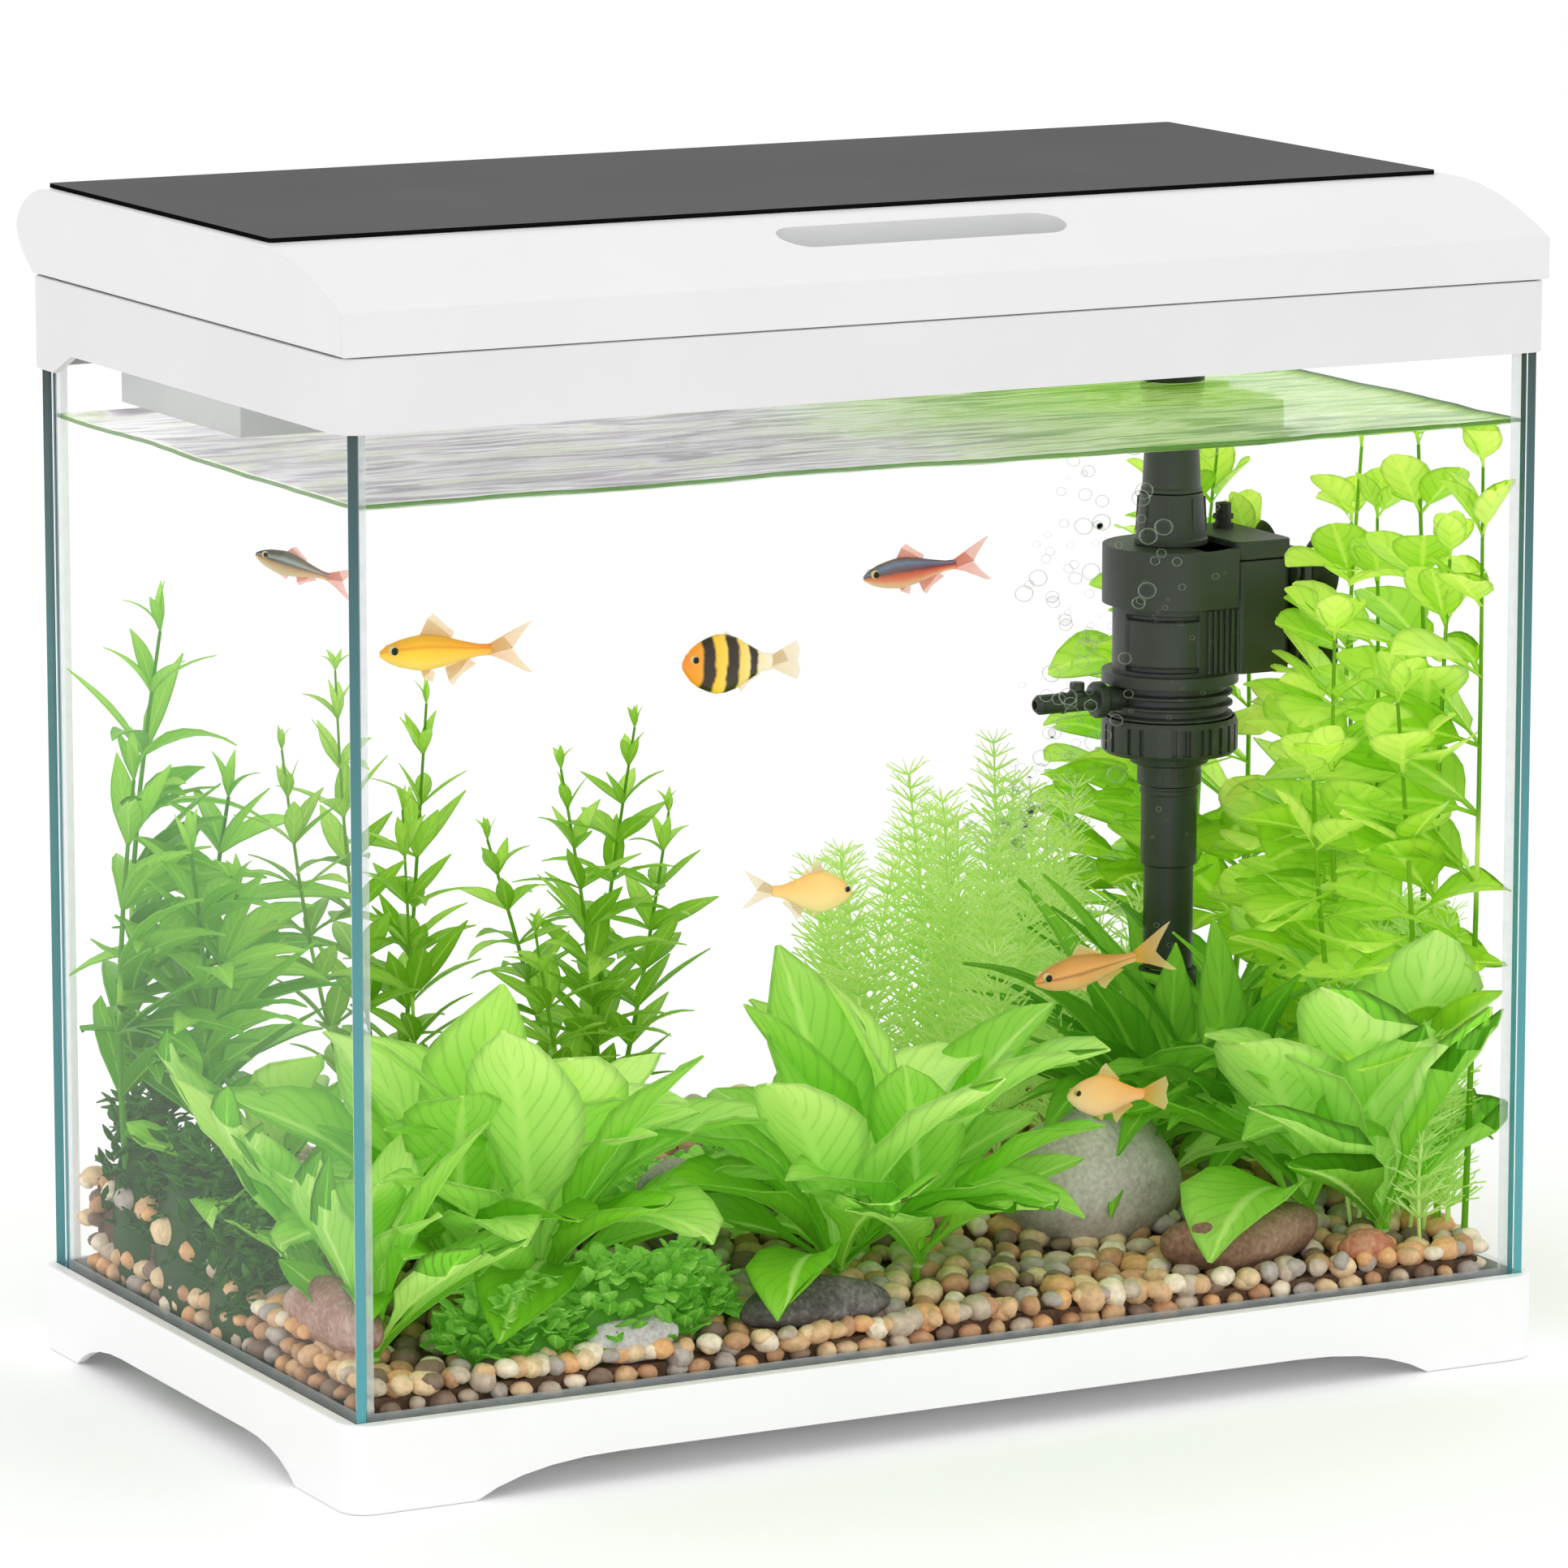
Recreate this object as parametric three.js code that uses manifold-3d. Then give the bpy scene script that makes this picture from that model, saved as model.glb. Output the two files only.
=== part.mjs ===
// Small glass aquarium on a footed base, with a hinged hood and an internal pump filter.
// Millimetres, +Z up. Inside this file x runs left to right from the tank's middle, y runs
// from the front glass face towards the back, and z is the height above the table.
import * as THREE from 'three';
import { mergeVertices } from 'three/addons/utils/BufferGeometryUtils.js';
import Module from 'manifold-3d';

const wasm = await Module();
wasm.setup();

// ---- Driving dimensions ----
const tankWidth = 400;
const tankDepth = 225;
const glass = 3;
const bottomGlass = 4;
const halfWidth = tankWidth / 2;
const innerX = halfWidth - glass;
const innerBack = tankDepth - glass;
const slip = 0.4;

// Base stand
const baseOut = 4.4;
const baseHeight = 27;
const baseWall = 3;
const baseCorner = 9;
const ledgeTop = 18.5;
const ledgeThick = 3;
const archHeight = 9.7;
const archFootX = 36;
const archEndX = 84;
const archFootFront = 34;
const archEndFront = 70;
const archFootBack = 25;
const archEndBack = 61;

// Glass box
const matThick = 2;
const glassFloor = ledgeTop + matThick;
const waterFloor = glassFloor + bottomGlass;
const glassTop = 333;
const beadLeg = 4;

// Top frame
const frameOut = 3;
const frameBottom = 316.8;
const frameTop = 338.8;
const frameWall = frameOut - slip;
const frameCorner = 7;
const windowX = 184;
const windowFront = 13;
const windowBack = 212;
const skirtBottom = 310;
const skirtFront = 210;
const skirtRamp = 195;
const trayRebate = 336;

// Lid
const lidOut = 2.8;
const lidWall = 2.4;
const lidBottom = frameTop + slip;
const lidFasciaTop = 352;
const lidTop = 365.7;
const lidDomeEnd = 52;
const lidCrownBack = 218;
const lidNose = new THREE.Vector2(238.1, 352.5);
const lidNoseFoot = 225;
const recessLength = 96;
const recessWidth = 17;
const recessY = 26;
const recessFloor = 353.5;
const panelFront = 56.4;
const panelBack = 221.9;
const panelHalf = 198.3;
const panelThick = 1.4;

// Hinge
const hinge = new THREE.Vector2(229.5, 348);
const hingeX = 140;
const lugWidth = 10;
const lugRadius = 3.6;
const pinRadius = 2;
const earThick = 4;
const runningGap = 0.08;
const pinClearance = 0.22;

// Hood filter tray
const trayHalf = 181;
const trayFront = 118;
const trayBack = 208;
const trayFloor = 300;
const trayWall = 2;
const trayLip = 194.5;
const trayTop = 337.8;

// Pump, on an upright axis
const pump = new THREE.Vector2(151.8, 138);
const riserRadius = 8.5;
const riserTop = 312;
const headTop = 242;
const headBottom = 223;
const headRadius = 22;
const bodyRadius = 18.6;
const boxRight = 185;
const boxHalfDepth = 20;
const boxBottom = 201;
const boxTop = 244;
const flangeTop = 201.5;
const flangeBottom = 197.3;
const threadRadius = 20;
const threadCore = 18;
const coreBottom = 179;
const nutTop = 186.5;
const nutBottom = 174.6;
const nutRadius = 21.4;
const collarBottom = 164;
const intakeStep = 138;
const intakeBottom = 104;
const strainerBottom = 84;
const rotorChamber = 8.5;
const nozzleZ = 193.3;
const cupZ = [207.5, 233];
const cupY = [119.5, 156.5];
const cupRadius = 11;
const plateX = 187.6;
const plateThick = 2.6;
const boxFront = 165;
const boxCorner = 3;
const boxLidDrop = 6;
const threadRings = [185.6, 189.6, 193.6];
const threadRise = 1.8;
const ventRibs = 5;
const ventStart = 155;
const ventPitch = 2.2;
const ventThick = 1.1;
const ventProud = 1;
const labelBottom = 205;
const labelTop = 219;
const labelDepth = 1.2;
const wellTop = 215;
const shaftRadius = 1.2;
const shaftBottom = 180.5;
const shaftTop = 218.5;
const rotorBottom = 189;
const rotorTop = 212.5;
const rotorRadius = 7;
const hubBottom = 182;
const hubRadius = 3.4;
const bladeReach = 7.6;
const collarTop = 259;
const collarRadius = 11.2;
const collarNeck = 10;
const collarRibs = 6;
const riserFlare = 275;
const riserBore = 6.8;
const nutGrips = 12;
const nutThroat = 13;
const intakeBore = 6.5;
const strainerRadius = 8.4;
const strainerMouth = 9.6;
const strainerSlots = 4;
const slotHalf = 0.9;
const nozzleRoot = 126;
const nozzleDisc = 123.6;
const nozzleBarb = 103.4;
const nozzleTip = 101.9;
const regulatorX = 117.6;
const bossFront = 128;
const bossBack = 148;
const bossBottom = 212;
const bossTop = 228;

// Planting
const rootRadius = 3.4;
const gravelFront = 34;
const gravelRise = 26;

const rearOverhang = lidNose.x;
const model = new THREE.Group();
model.position.y = -(rearOverhang - baseOut) / 2;

// ---- Solids ----
function toSolid(geometry) {
  const bare = geometry.clone();
  for (const name of Object.keys(bare.attributes)) {
    if (name !== 'position') {
      bare.deleteAttribute(name);
    }
  }
  const welded = mergeVertices(bare, 1e-4);
  return new wasm.Manifold(new wasm.Mesh({
    numProp: 3,
    vertProperties: new Float32Array(welded.attributes.position.array),
    triVerts: new Uint32Array(welded.index.array),
  }));
}

function toGeometry(solid) {
  const mesh = solid.simplify(0.02).getMesh();
  const geometry = new THREE.BufferGeometry();
  geometry.setAttribute('position', new THREE.BufferAttribute(mesh.vertProperties, 3));
  geometry.setIndex(new THREE.BufferAttribute(mesh.triVerts, 1));
  geometry.computeVertexNormals();
  return geometry;
}

function unite(solids) {
  return solids.reduce((whole, solid) => whole.add(solid));
}

function cut(solid, tools) {
  return tools.reduce((rest, tool) => rest.subtract(tool), solid);
}

function block(x0, x1, y0, y1, z0, z1) {
  const geometry = new THREE.BoxGeometry(x1 - x0, y1 - y0, z1 - z0);
  geometry.translate((x0 + x1) / 2, (y0 + y1) / 2, (z0 + z1) / 2);
  return toSolid(geometry);
}

function outline(points) {
  return new THREE.Shape(points.map(([u, v]) => new THREE.Vector2(u, v)));
}

function extrude(shape, length, edge, segments) {
  return new THREE.ExtrudeGeometry(shape, {
    depth: length - 2 * edge,
    bevelEnabled: edge > 0,
    bevelSize: edge,
    bevelThickness: edge,
    bevelOffset: -edge,
    bevelSegments: 2,
    curveSegments: segments,
  }).translate(0, 0, edge);
}

function prismZ(shape, z0, z1, edge = 0, segments = 6) {
  return toSolid(extrude(shape, z1 - z0, edge, segments).translate(0, 0, z0));
}

function prismX(shape, x0, x1, edge = 0, segments = 8) {
  const turn = new THREE.Matrix4().set(0, 0, 1, x0, 1, 0, 0, 0, 0, 1, 0, 0, 0, 0, 0, 1);
  return toSolid(extrude(shape, x1 - x0, edge, segments).applyMatrix4(turn));
}

function prismY(shape, y0, y1, edge = 0, segments = 8) {
  const turn = new THREE.Matrix4().set(1, 0, 0, 0, 0, 0, -1, y1, 0, 1, 0, 0, 0, 0, 0, 1);
  return toSolid(extrude(shape, y1 - y0, edge, segments).applyMatrix4(turn));
}

function roundedRectangle(x0, x1, y0, y1, radius) {
  const shape = new THREE.Shape();
  shape.moveTo(x0 + radius, y0);
  shape.lineTo(x1 - radius, y0);
  shape.absarc(x1 - radius, y0 + radius, radius, -Math.PI / 2, 0);
  shape.lineTo(x1, y1 - radius);
  shape.absarc(x1 - radius, y1 - radius, radius, 0, Math.PI / 2);
  shape.lineTo(x0 + radius, y1);
  shape.absarc(x0 + radius, y1 - radius, radius, Math.PI / 2, Math.PI);
  shape.lineTo(x0, y0 + radius);
  shape.absarc(x0 + radius, y0 + radius, radius, Math.PI, 1.5 * Math.PI);
  return shape;
}

function disc(x, y, radius, z0, z1, sides = 12, topRadius = radius) {
  const geometry = new THREE.CylinderGeometry(topRadius, radius, z1 - z0, sides);
  geometry.rotateX(Math.PI / 2);
  geometry.translate(x, y, (z0 + z1) / 2);
  return toSolid(geometry);
}

function pumpDisc(radius, z0, z1, sides = 14, topRadius = radius) {
  return disc(pump.x, pump.y, radius, z0, z1, sides, topRadius);
}

function rodX(y, z, radius, x0, x1, sides = 10, farRadius = radius) {
  const geometry = new THREE.CylinderGeometry(farRadius, radius, x1 - x0, sides);
  geometry.rotateZ(-Math.PI / 2);
  geometry.translate((x0 + x1) / 2, y, z);
  return toSolid(geometry);
}

function add(name, solid, color, roughness, metalness = 0, opacity = 1) {
  const material = new THREE.MeshStandardMaterial({
    color, roughness, metalness, opacity, transparent: opacity < 1,
  });
  const mesh = new THREE.Mesh(toGeometry(solid), material);
  mesh.name = name;
  model.add(mesh);
}

const whitePlastic = 0xeeeeee;
const darkPlastic = 0x444545;

// ---- Base stand ----
function archShape(start, end, footLow, endLow, footHigh, endHigh) {
  const shape = new THREE.Shape();
  shape.moveTo(start + footLow, -1);
  shape.lineTo(start + footLow, 0);
  shape.quadraticCurveTo(start + (2 * footLow + endLow) / 3, archHeight, start + endLow, archHeight);
  shape.lineTo(end - endHigh, archHeight);
  shape.quadraticCurveTo(end - (2 * footHigh + endHigh) / 3, archHeight, end - footHigh, 0);
  shape.lineTo(end - footHigh, -1);
  return shape;
}

function baseFrame() {
  const outline = roundedRectangle(
    -halfWidth - baseOut, halfWidth + baseOut, -baseOut, tankDepth + baseOut, baseCorner);
  const outer = prismZ(outline, 0, baseHeight, 1);
  const inset = baseWall - baseOut;
  const hollow = block(
    -halfWidth + inset, halfWidth - inset, inset, tankDepth - inset, -1, ledgeTop - ledgeThick);
  const seat = block(
    -halfWidth - slip, halfWidth + slip, -slip, tankDepth + slip, ledgeTop, baseHeight + 1);
  const opening = block(-170, 170, 30, tankDepth - 30, 0, baseHeight);
  const frontArch = prismY(
    archShape(-halfWidth, halfWidth, archFootX, archEndX, archFootX, archEndX), -10, tankDepth + 10, 0, 5);
  const sideArch = prismX(
    archShape(0, tankDepth, archFootFront, archEndFront, archFootBack, archEndBack),
    -halfWidth - 10, halfWidth + 10, 0, 5);
  return cut(outer, [hollow, seat, opening, frontArch, sideArch]);
}

// ---- Glass box ----
function addGlassBox() {
  const tint = 0xbfe3e0;
  const pane = (name, solid) => add(name, solid, tint, 0.05, 0, 0.3);
  pane('glass_front', block(-innerX + slip, innerX - slip, 0, glass, glassFloor, glassTop));
  pane('glass_back', block(-innerX + slip, innerX - slip, innerBack, tankDepth, glassFloor, glassTop));
  pane('glass_left', block(-halfWidth, -innerX, 0, tankDepth, glassFloor, glassTop));
  pane('glass_right', block(innerX, halfWidth, 0, tankDepth, glassFloor, glassTop));
  pane('glass_bottom', block(
    -innerX + slip, innerX - slip, glass + slip, innerBack - slip, glassFloor, waterFloor));
}

function siliconeSeal() {
  const front = outline([[glass, 0], [glass + beadLeg, 0], [glass, beadLeg]]);
  const back = outline([[innerBack, 0], [innerBack, beadLeg], [innerBack - beadLeg, 0]]);
  const left = outline([[-innerX, 0], [-innerX + beadLeg, 0], [-innerX, beadLeg]]);
  const right = outline([[innerX, 0], [innerX, beadLeg], [innerX - beadLeg, 0]]);
  const lift = (solid) => solid.translate([0, 0, waterFloor]);
  const floorBeads = [
    lift(prismX(front, -innerX, innerX)),
    lift(prismX(back, -innerX, innerX)),
    lift(prismY(left, glass, innerBack)),
    lift(prismY(right, glass, innerBack)),
  ];
  const corner = (x, y, sx, sy) => prismZ(
    sx * sy > 0
      ? outline([[x, y], [x + sx * beadLeg, y], [x, y + sy * beadLeg]])
      : outline([[x, y], [x, y + sy * beadLeg], [x + sx * beadLeg, y]]),
    waterFloor, glassTop - 9);
  const uprights = [
    corner(-innerX, glass, 1, 1),
    corner(innerX, glass, -1, 1),
    corner(-innerX, innerBack, 1, -1),
    corner(innerX, innerBack, -1, -1),
  ];
  return unite([...floorBeads, ...uprights]);
}

// ---- Top frame with hinge lugs ----
function hingeLug(x) {
  const shape = new THREE.Shape();
  shape.moveTo(windowBack + 2, frameTop - 1);
  shape.lineTo(windowBack + 9, frameTop - 1);
  shape.lineTo(hinge.x + 2.4, hinge.y - 2.7);
  shape.absarc(hinge.x, hinge.y, lugRadius, -0.84, Math.PI * 0.76);
  shape.lineTo(windowBack + 2, frameTop + 2);
  const bore = rodX(hinge.x, hinge.y, pinRadius + pinClearance, x - lugWidth, x + lugWidth);
  return prismX(shape, x - lugWidth / 2, x + lugWidth / 2).subtract(bore);
}

function topFrame() {
  const outer = prismZ(
    roundedRectangle(
      -halfWidth - frameOut, halfWidth + frameOut, -frameOut, tankDepth + frameOut, frameCorner),
    skirtBottom, frameTop, 0.8);
  const trim = outline([
    [-20, skirtBottom - 1], [skirtFront, skirtBottom - 1], [skirtFront, skirtBottom],
    [skirtRamp, frameBottom], [-20, frameBottom],
  ]);
  const cavity = block(-halfWidth - slip, halfWidth + slip, -slip, tankDepth + slip, 0, glassTop + 0.5);
  const opening = block(-windowX, windowX, windowFront, windowBack, 0, frameTop + 1);
  const rebate = block(
    -trayLip - slip, trayLip + slip, trayFront - 2, trayBack + 2, trayRebate, frameTop + 1);
  const cableNotch = block(160, 176, windowBack - 1, tankDepth + 10, frameTop - 4, frameTop + 1);
  const shell = cut(outer, [
    prismX(trim, -halfWidth - 10, halfWidth + 10), cavity, opening, rebate, cableNotch,
  ]);
  const lipOuter = block(
    -innerX + slip, innerX - slip, glass + slip, innerBack - slip, glassTop - 8, glassTop + 1);
  const lipInner = block(
    -innerX + 3, innerX - 3, glass + 3, innerBack - 3, glassTop - 9, glassTop + 2);
  return unite([shell, lipOuter.subtract(lipInner), hingeLug(-hingeX), hingeLug(hingeX)]);
}

function cableGrommet() {
  const body = block(160.3, 175.7, tankDepth - 6, tankDepth + frameOut - 0.3, frameTop - 3.9, frameTop);
  const slot = prismY(roundedRectangle(164.5, 171.5, frameTop - 2.6, frameTop + 4, 1), 200, 240, 0, 3);
  return body.subtract(slot);
}

// ---- Lid ----
function lidProfile(inset, floor) {
  const front = -lidOut + inset;
  const nose = lidNose.x - inset;
  const shape = new THREE.Shape();
  shape.moveTo(front, floor);
  shape.lineTo(front, lidFasciaTop - inset * 0.5);
  shape.quadraticCurveTo(26, lidTop - inset, lidDomeEnd, lidTop - inset);
  shape.lineTo(lidCrownBack - inset, lidTop - inset);
  shape.bezierCurveTo(
    lidCrownBack + 9 - inset, lidTop - 0.5 - inset, nose + 0.3, lidNose.y + 5.5, nose, lidNose.y);
  shape.quadraticCurveTo(nose - 1.6, lidNose.y - 7 + inset, lidNoseFoot - inset, lidBottom + inset);
  shape.lineTo(lidNoseFoot - inset, floor);
  return shape;
}

function stadium(length, width, y) {
  const reach = (length - width) / 2;
  const shape = new THREE.Shape();
  shape.absarc(reach, y, width / 2, -Math.PI / 2, Math.PI / 2);
  shape.absarc(-reach, y, width / 2, Math.PI / 2, 1.5 * Math.PI);
  return shape;
}

function hingeEar(x) {
  const shape = new THREE.Shape();
  shape.moveTo(hinge.x - 9, lidTop - 1);
  shape.lineTo(hinge.x - lugRadius, hinge.y);
  shape.absarc(hinge.x, hinge.y, lugRadius, Math.PI, 2 * Math.PI);
  shape.lineTo(hinge.x + lugRadius, lidTop - 1);
  return prismX(shape, x - earThick / 2, x + earThick / 2);
}

function lidShell() {
  const halfLid = halfWidth + lidOut;
  const outer = prismX(lidProfile(0, lidBottom), -halfLid, halfLid, 0.9, 7);
  const hollow = prismX(lidProfile(lidWall, lidBottom - 1), -halfLid + lidWall, halfLid - lidWall, 0, 5);
  const cup = prismZ(
    stadium(recessLength + 2 * lidWall, recessWidth + 2 * lidWall, recessY),
    recessFloor - lidWall, lidTop, 0, 6);
  const recess = prismZ(stadium(recessLength, recessWidth, recessY), recessFloor, lidTop + 1, 0, 6);
  const earOffset = lugWidth / 2 + 1 + earThick / 2;
  const ears = [];
  const slots = [];
  for (const x of [-hingeX, hingeX]) {
    ears.push(hingeEar(x - earOffset), hingeEar(x + earOffset));
    slots.push(block(
      x - lugWidth / 2 - 1, x + lugWidth / 2 + 1, lidNoseFoot - 4, rearOverhang + 2, lidBottom - 1, 349.5));
  }
  const fittings = unite([cup, ...ears]).intersect(outer);
  const bore = rodX(hinge.x, hinge.y, pinRadius + 0.02, -hingeX - 20, hingeX + 20);
  return cut(outer.subtract(hollow).add(fittings), [recess, bore, ...slots]);
}

function hingePin(x) {
  return rodX(hinge.x, hinge.y, pinRadius, x - 9.5, x + 9.5);
}

function lidPanel() {
  return prismZ(
    roundedRectangle(-panelHalf, panelHalf, panelFront, panelBack, 1.5), lidTop, lidTop + panelThick, 0, 2);
}

// ---- Lamp under the lid ----
const lampHalf = 150;
const lampFront = 62;
const lampBack = 102;
const lampBottom = 353;
const lampTop = lidTop - lidWall;

function ledHousing() {
  const outline = roundedRectangle(lampFront, lampBack, lampBottom, lampTop, 2);
  const outer = prismX(outline, -lampHalf, lampHalf, 0, 2);
  const hollow = block(
    -lampHalf + 3, lampHalf - 3, lampFront + 3, lampBack - 3, lampBottom - 1, lampTop - 2);
  return outer.subtract(hollow);
}

function ledBoard() {
  const board = block(
    -lampHalf + 5, lampHalf - 5, lampFront + 5, lampBack - 5, lampTop - 3.6, lampTop - 2);
  const chips = [];
  for (let column = -2; column <= 2; column += 1) {
    for (const y of [lampFront + 13, lampBack - 13]) {
      const x = column * 56;
      chips.push(block(x - 2.5, x + 2.5, y - 2.5, y + 2.5, lampTop - 4.4, lampTop - 3));
    }
  }
  return unite([board, ...chips]);
}

function ledLens() {
  return block(
    -lampHalf + 3, lampHalf - 3, lampFront + 3, lampBack - 3, lampBottom, lampBottom + 2);
}

// ---- Filter in the hood ----
function filterTray() {
  const outer = block(-trayHalf, trayHalf, trayFront, trayBack, trayFloor, trayTop);
  const hollow = block(
    -trayHalf + trayWall, trayHalf - trayWall, trayFront + trayWall, trayBack - trayWall,
    trayFloor + trayWall, trayTop + 1);
  const lip = block(-trayLip, trayLip, trayFront, trayBack, trayRebate, trayTop);
  const spoutHole = pumpDisc(riserRadius + 1.5, trayFloor - 1, trayFloor + trayWall + 1);
  const drains = [];
  for (let row = 0; row < 6; row += 1) {
    const y = trayFront + 12 + row * 13;
    drains.push(block(-172, -140, y, y + 5, trayFloor - 1, trayFloor + trayWall + 1));
  }
  return cut(outer.add(lip), [hollow, spoutHole, ...drains]);
}

function filterSponge() {
  return prismZ(
    roundedRectangle(-176, 118, trayFront + 4, trayBack - 4, 3), trayFloor + trayWall, 326, 0, 2);
}

function outletElbow() {
  const outer = riserRadius + 1.1;
  const seat = riserRadius + 0.2;
  const bendZ = 321;
  const body = unite([
    pumpDisc(outer + 0.8, 294.5, 297.5),
    pumpDisc(outer, 294.5, bendZ + 8),
    rodX(pump.y, bendZ, 8, pump.x - 27, pump.x),
  ]);
  const bore = pumpDisc(seat, 293, riserTop + 0.3);
  const throat = pumpDisc(6.5, riserTop - 1, bendZ + 4);
  const spout = rodX(pump.y, bendZ, 6, pump.x - 28, pump.x);
  return cut(body, [bore, throat, spout]);
}

// ---- Pump ----
function pumpBody() {
  const mid = (cupY[0] + cupY[1]) / 2;
  const outline = roundedRectangle(boxFront, boxRight, mid - boxHalfDepth, mid + boxHalfDepth, boxCorner);
  const box = prismZ(outline, boxBottom, boxTop - boxLidDrop - 0.2, 0, boxCorner);
  const sides = [pump.y - bodyRadius, pump.y + bodyRadius];
  const neck = block(pump.x, boxFront + boxCorner, ...sides, boxBottom, headBottom);
  const barrel = pumpDisc(bodyRadius, flangeBottom, headBottom, 18);
  const flange = pumpDisc(headRadius, flangeBottom, flangeTop, 18);
  const core = pumpDisc(threadCore, coreBottom, flangeTop, 18);
  const threads = threadRings.map((z) => pumpDisc(threadRadius, z, z + threadRise, 18));
  const ribs = [];
  const ribReach = bodyRadius + ventProud;
  for (let rib = 0; rib < ventRibs; rib += 1) {
    const x = ventStart + rib * ventPitch;
    ribs.push(block(x, x + ventThick, pump.y - ribReach, pump.y + ribReach, boxBottom, headBottom));
  }
  const face = pump.y - bodyRadius;
  const label = block(pump.x - headRadius, pump.x - 1, face - 2, face + labelDepth, labelBottom, labelTop);
  const well = pumpDisc(rotorChamber, coreBottom - 1, wellTop);
  const shaftHole = pumpDisc(shaftRadius + 0.05, wellTop - 1, shaftTop + 0.5, 12);
  const stubRoom = rodX(pump.y, nozzleZ, 4.3, pump.x - 30, pump.x - threadCore + 0.6);
  const body = unite([box, neck, barrel, flange, core, ...threads, ...ribs]);
  return cut(body, [label, well, shaftHole, stubRoom]);
}

function pumpHead() {
  const mid = (cupY[0] + cupY[1]) / 2;
  const shape = new THREE.Shape();
  shape.absarc(pump.x, pump.y, headRadius, Math.PI / 2, 1.5 * Math.PI);
  shape.lineTo(boxFront + slip, pump.y - headRadius);
  shape.lineTo(boxFront + slip, pump.y + headRadius);
  const capHalf = boxHalfDepth + slip;
  const outline = roundedRectangle(boxFront - slip, boxRight, mid - capHalf, mid + capHalf, boxCorner);
  const cap = prismZ(outline, boxTop - boxLidDrop, boxTop, 0, boxCorner);
  const cover = prismZ(shape, headBottom, headTop, 0, 10);
  const room = block(
    boxFront - 0.3, boxRight + 1, mid - headRadius * 2, mid + headRadius * 2,
    headBottom - 1, boxTop - boxLidDrop);
  const passage = pumpDisc(rotorRadius, headBottom - 1, headTop + 1);
  const dome = pumpDisc(12, headBottom - 1, headBottom + 6);
  return cut(cover.subtract(room).add(cap), [passage, dome]);
}

function outletCollar() {
  const bottom = headTop;
  const top = collarTop;
  const cone = pumpDisc(collarRadius, bottom, top, 14, collarNeck);
  const foot = pumpDisc(collarRadius + 0.4, bottom, bottom + 2.4);
  const ribs = [];
  for (let rib = 0; rib < collarRibs; rib += 1) {
    const turn = rib * 2 * Math.PI / collarRibs + 0.3;
    const reach = collarNeck + 0.6;
    const bar = block(-0.8, 0.8, -0.9, 0.9, bottom + 1, top - 2);
    ribs.push(bar.rotate([0, 0, THREE.MathUtils.radToDeg(turn)])
      .translate([pump.x + reach * Math.cos(turn), pump.y + reach * Math.sin(turn), 0]));
  }
  return unite([cone, foot, ...ribs]).subtract(pumpDisc(rotorRadius, bottom - 1, top + 1));
}

function riserTube() {
  const foot = pumpDisc(riserRadius + 1.2, collarTop, riserFlare, 14, riserRadius);
  const tube = foot.add(pumpDisc(riserRadius, riserFlare - 1, riserTop));
  return tube.subtract(pumpDisc(riserBore, collarTop - 1, riserTop + 1));
}

function unionNut() {
  const ring = pumpDisc(nutRadius, nutBottom, nutTop, 18);
  const grips = [];
  for (let grip = 0; grip < nutGrips; grip += 1) {
    const turn = grip * 360 / nutGrips;
    grips.push(block(nutRadius - 1, nutRadius + 0.6, -1.1, 1.1, nutBottom + 0.8, nutTop - 0.8)
      .rotate([0, 0, turn]).translate([pump.x, pump.y, 0]));
  }
  const thread = pumpDisc(threadRadius + 0.5, nutBottom + 2.2, nutTop + 1, 18);
  const throat = pumpDisc(nutThroat, nutBottom - 1, nutTop, 18);
  return cut(unite([ring, ...grips]), [thread, throat]);
}

function intakeAdapter() {
  const body = unite([
    pumpDisc(17.5, 177.3, coreBottom - 0.2),
    pumpDisc(12.6, 170.5, 178),
    pumpDisc(10.3, collarBottom, 171),
  ]);
  return body.subtract(pumpDisc(7.5, collarBottom - 1, coreBottom + 1));
}

function intakeTube() {
  const tube = pumpDisc(9, intakeStep, collarBottom).add(pumpDisc(8, intakeBottom, intakeStep + 1));
  return tube.subtract(pumpDisc(intakeBore, intakeBottom - 1, collarBottom + 1));
}

function intakeStrainer() {
  const basket = pumpDisc(strainerRadius, strainerBottom, intakeBottom, 14, strainerMouth);
  const hollow = pumpDisc(intakeBore + 0.1, strainerBottom + 2, intakeBottom + 1);
  const slots = [];
  for (let slot = 0; slot < strainerSlots; slot += 1) {
    slots.push(block(-12, 12, -slotHalf, slotHalf, strainerBottom + 4, intakeBottom - 4)
      .rotate([0, 0, slot * 180 / strainerSlots + 10]).translate([pump.x, pump.y, 0]));
  }
  return cut(basket, [hollow, ...slots]);
}

function impeller() {
  const blades = [];
  for (let blade = 0; blade < 3; blade += 1) {
    blades.push(block(-bladeReach, bladeReach, -0.6, 0.6, hubBottom, rotorBottom).rotate([0, 0, blade * 60])
      .translate([pump.x, pump.y, 0]));
  }
  const rotor = pumpDisc(rotorRadius, rotorBottom, rotorTop);
  const body = unite([rotor, pumpDisc(hubRadius, hubBottom, rotorBottom + 1), ...blades]);
  return body.subtract(pumpDisc(shaftRadius + runningGap, hubBottom - 1, rotorTop + 0.5, 12));
}

function impellerShaft() {
  return pumpDisc(shaftRadius, shaftBottom, shaftTop, 12);
}

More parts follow.
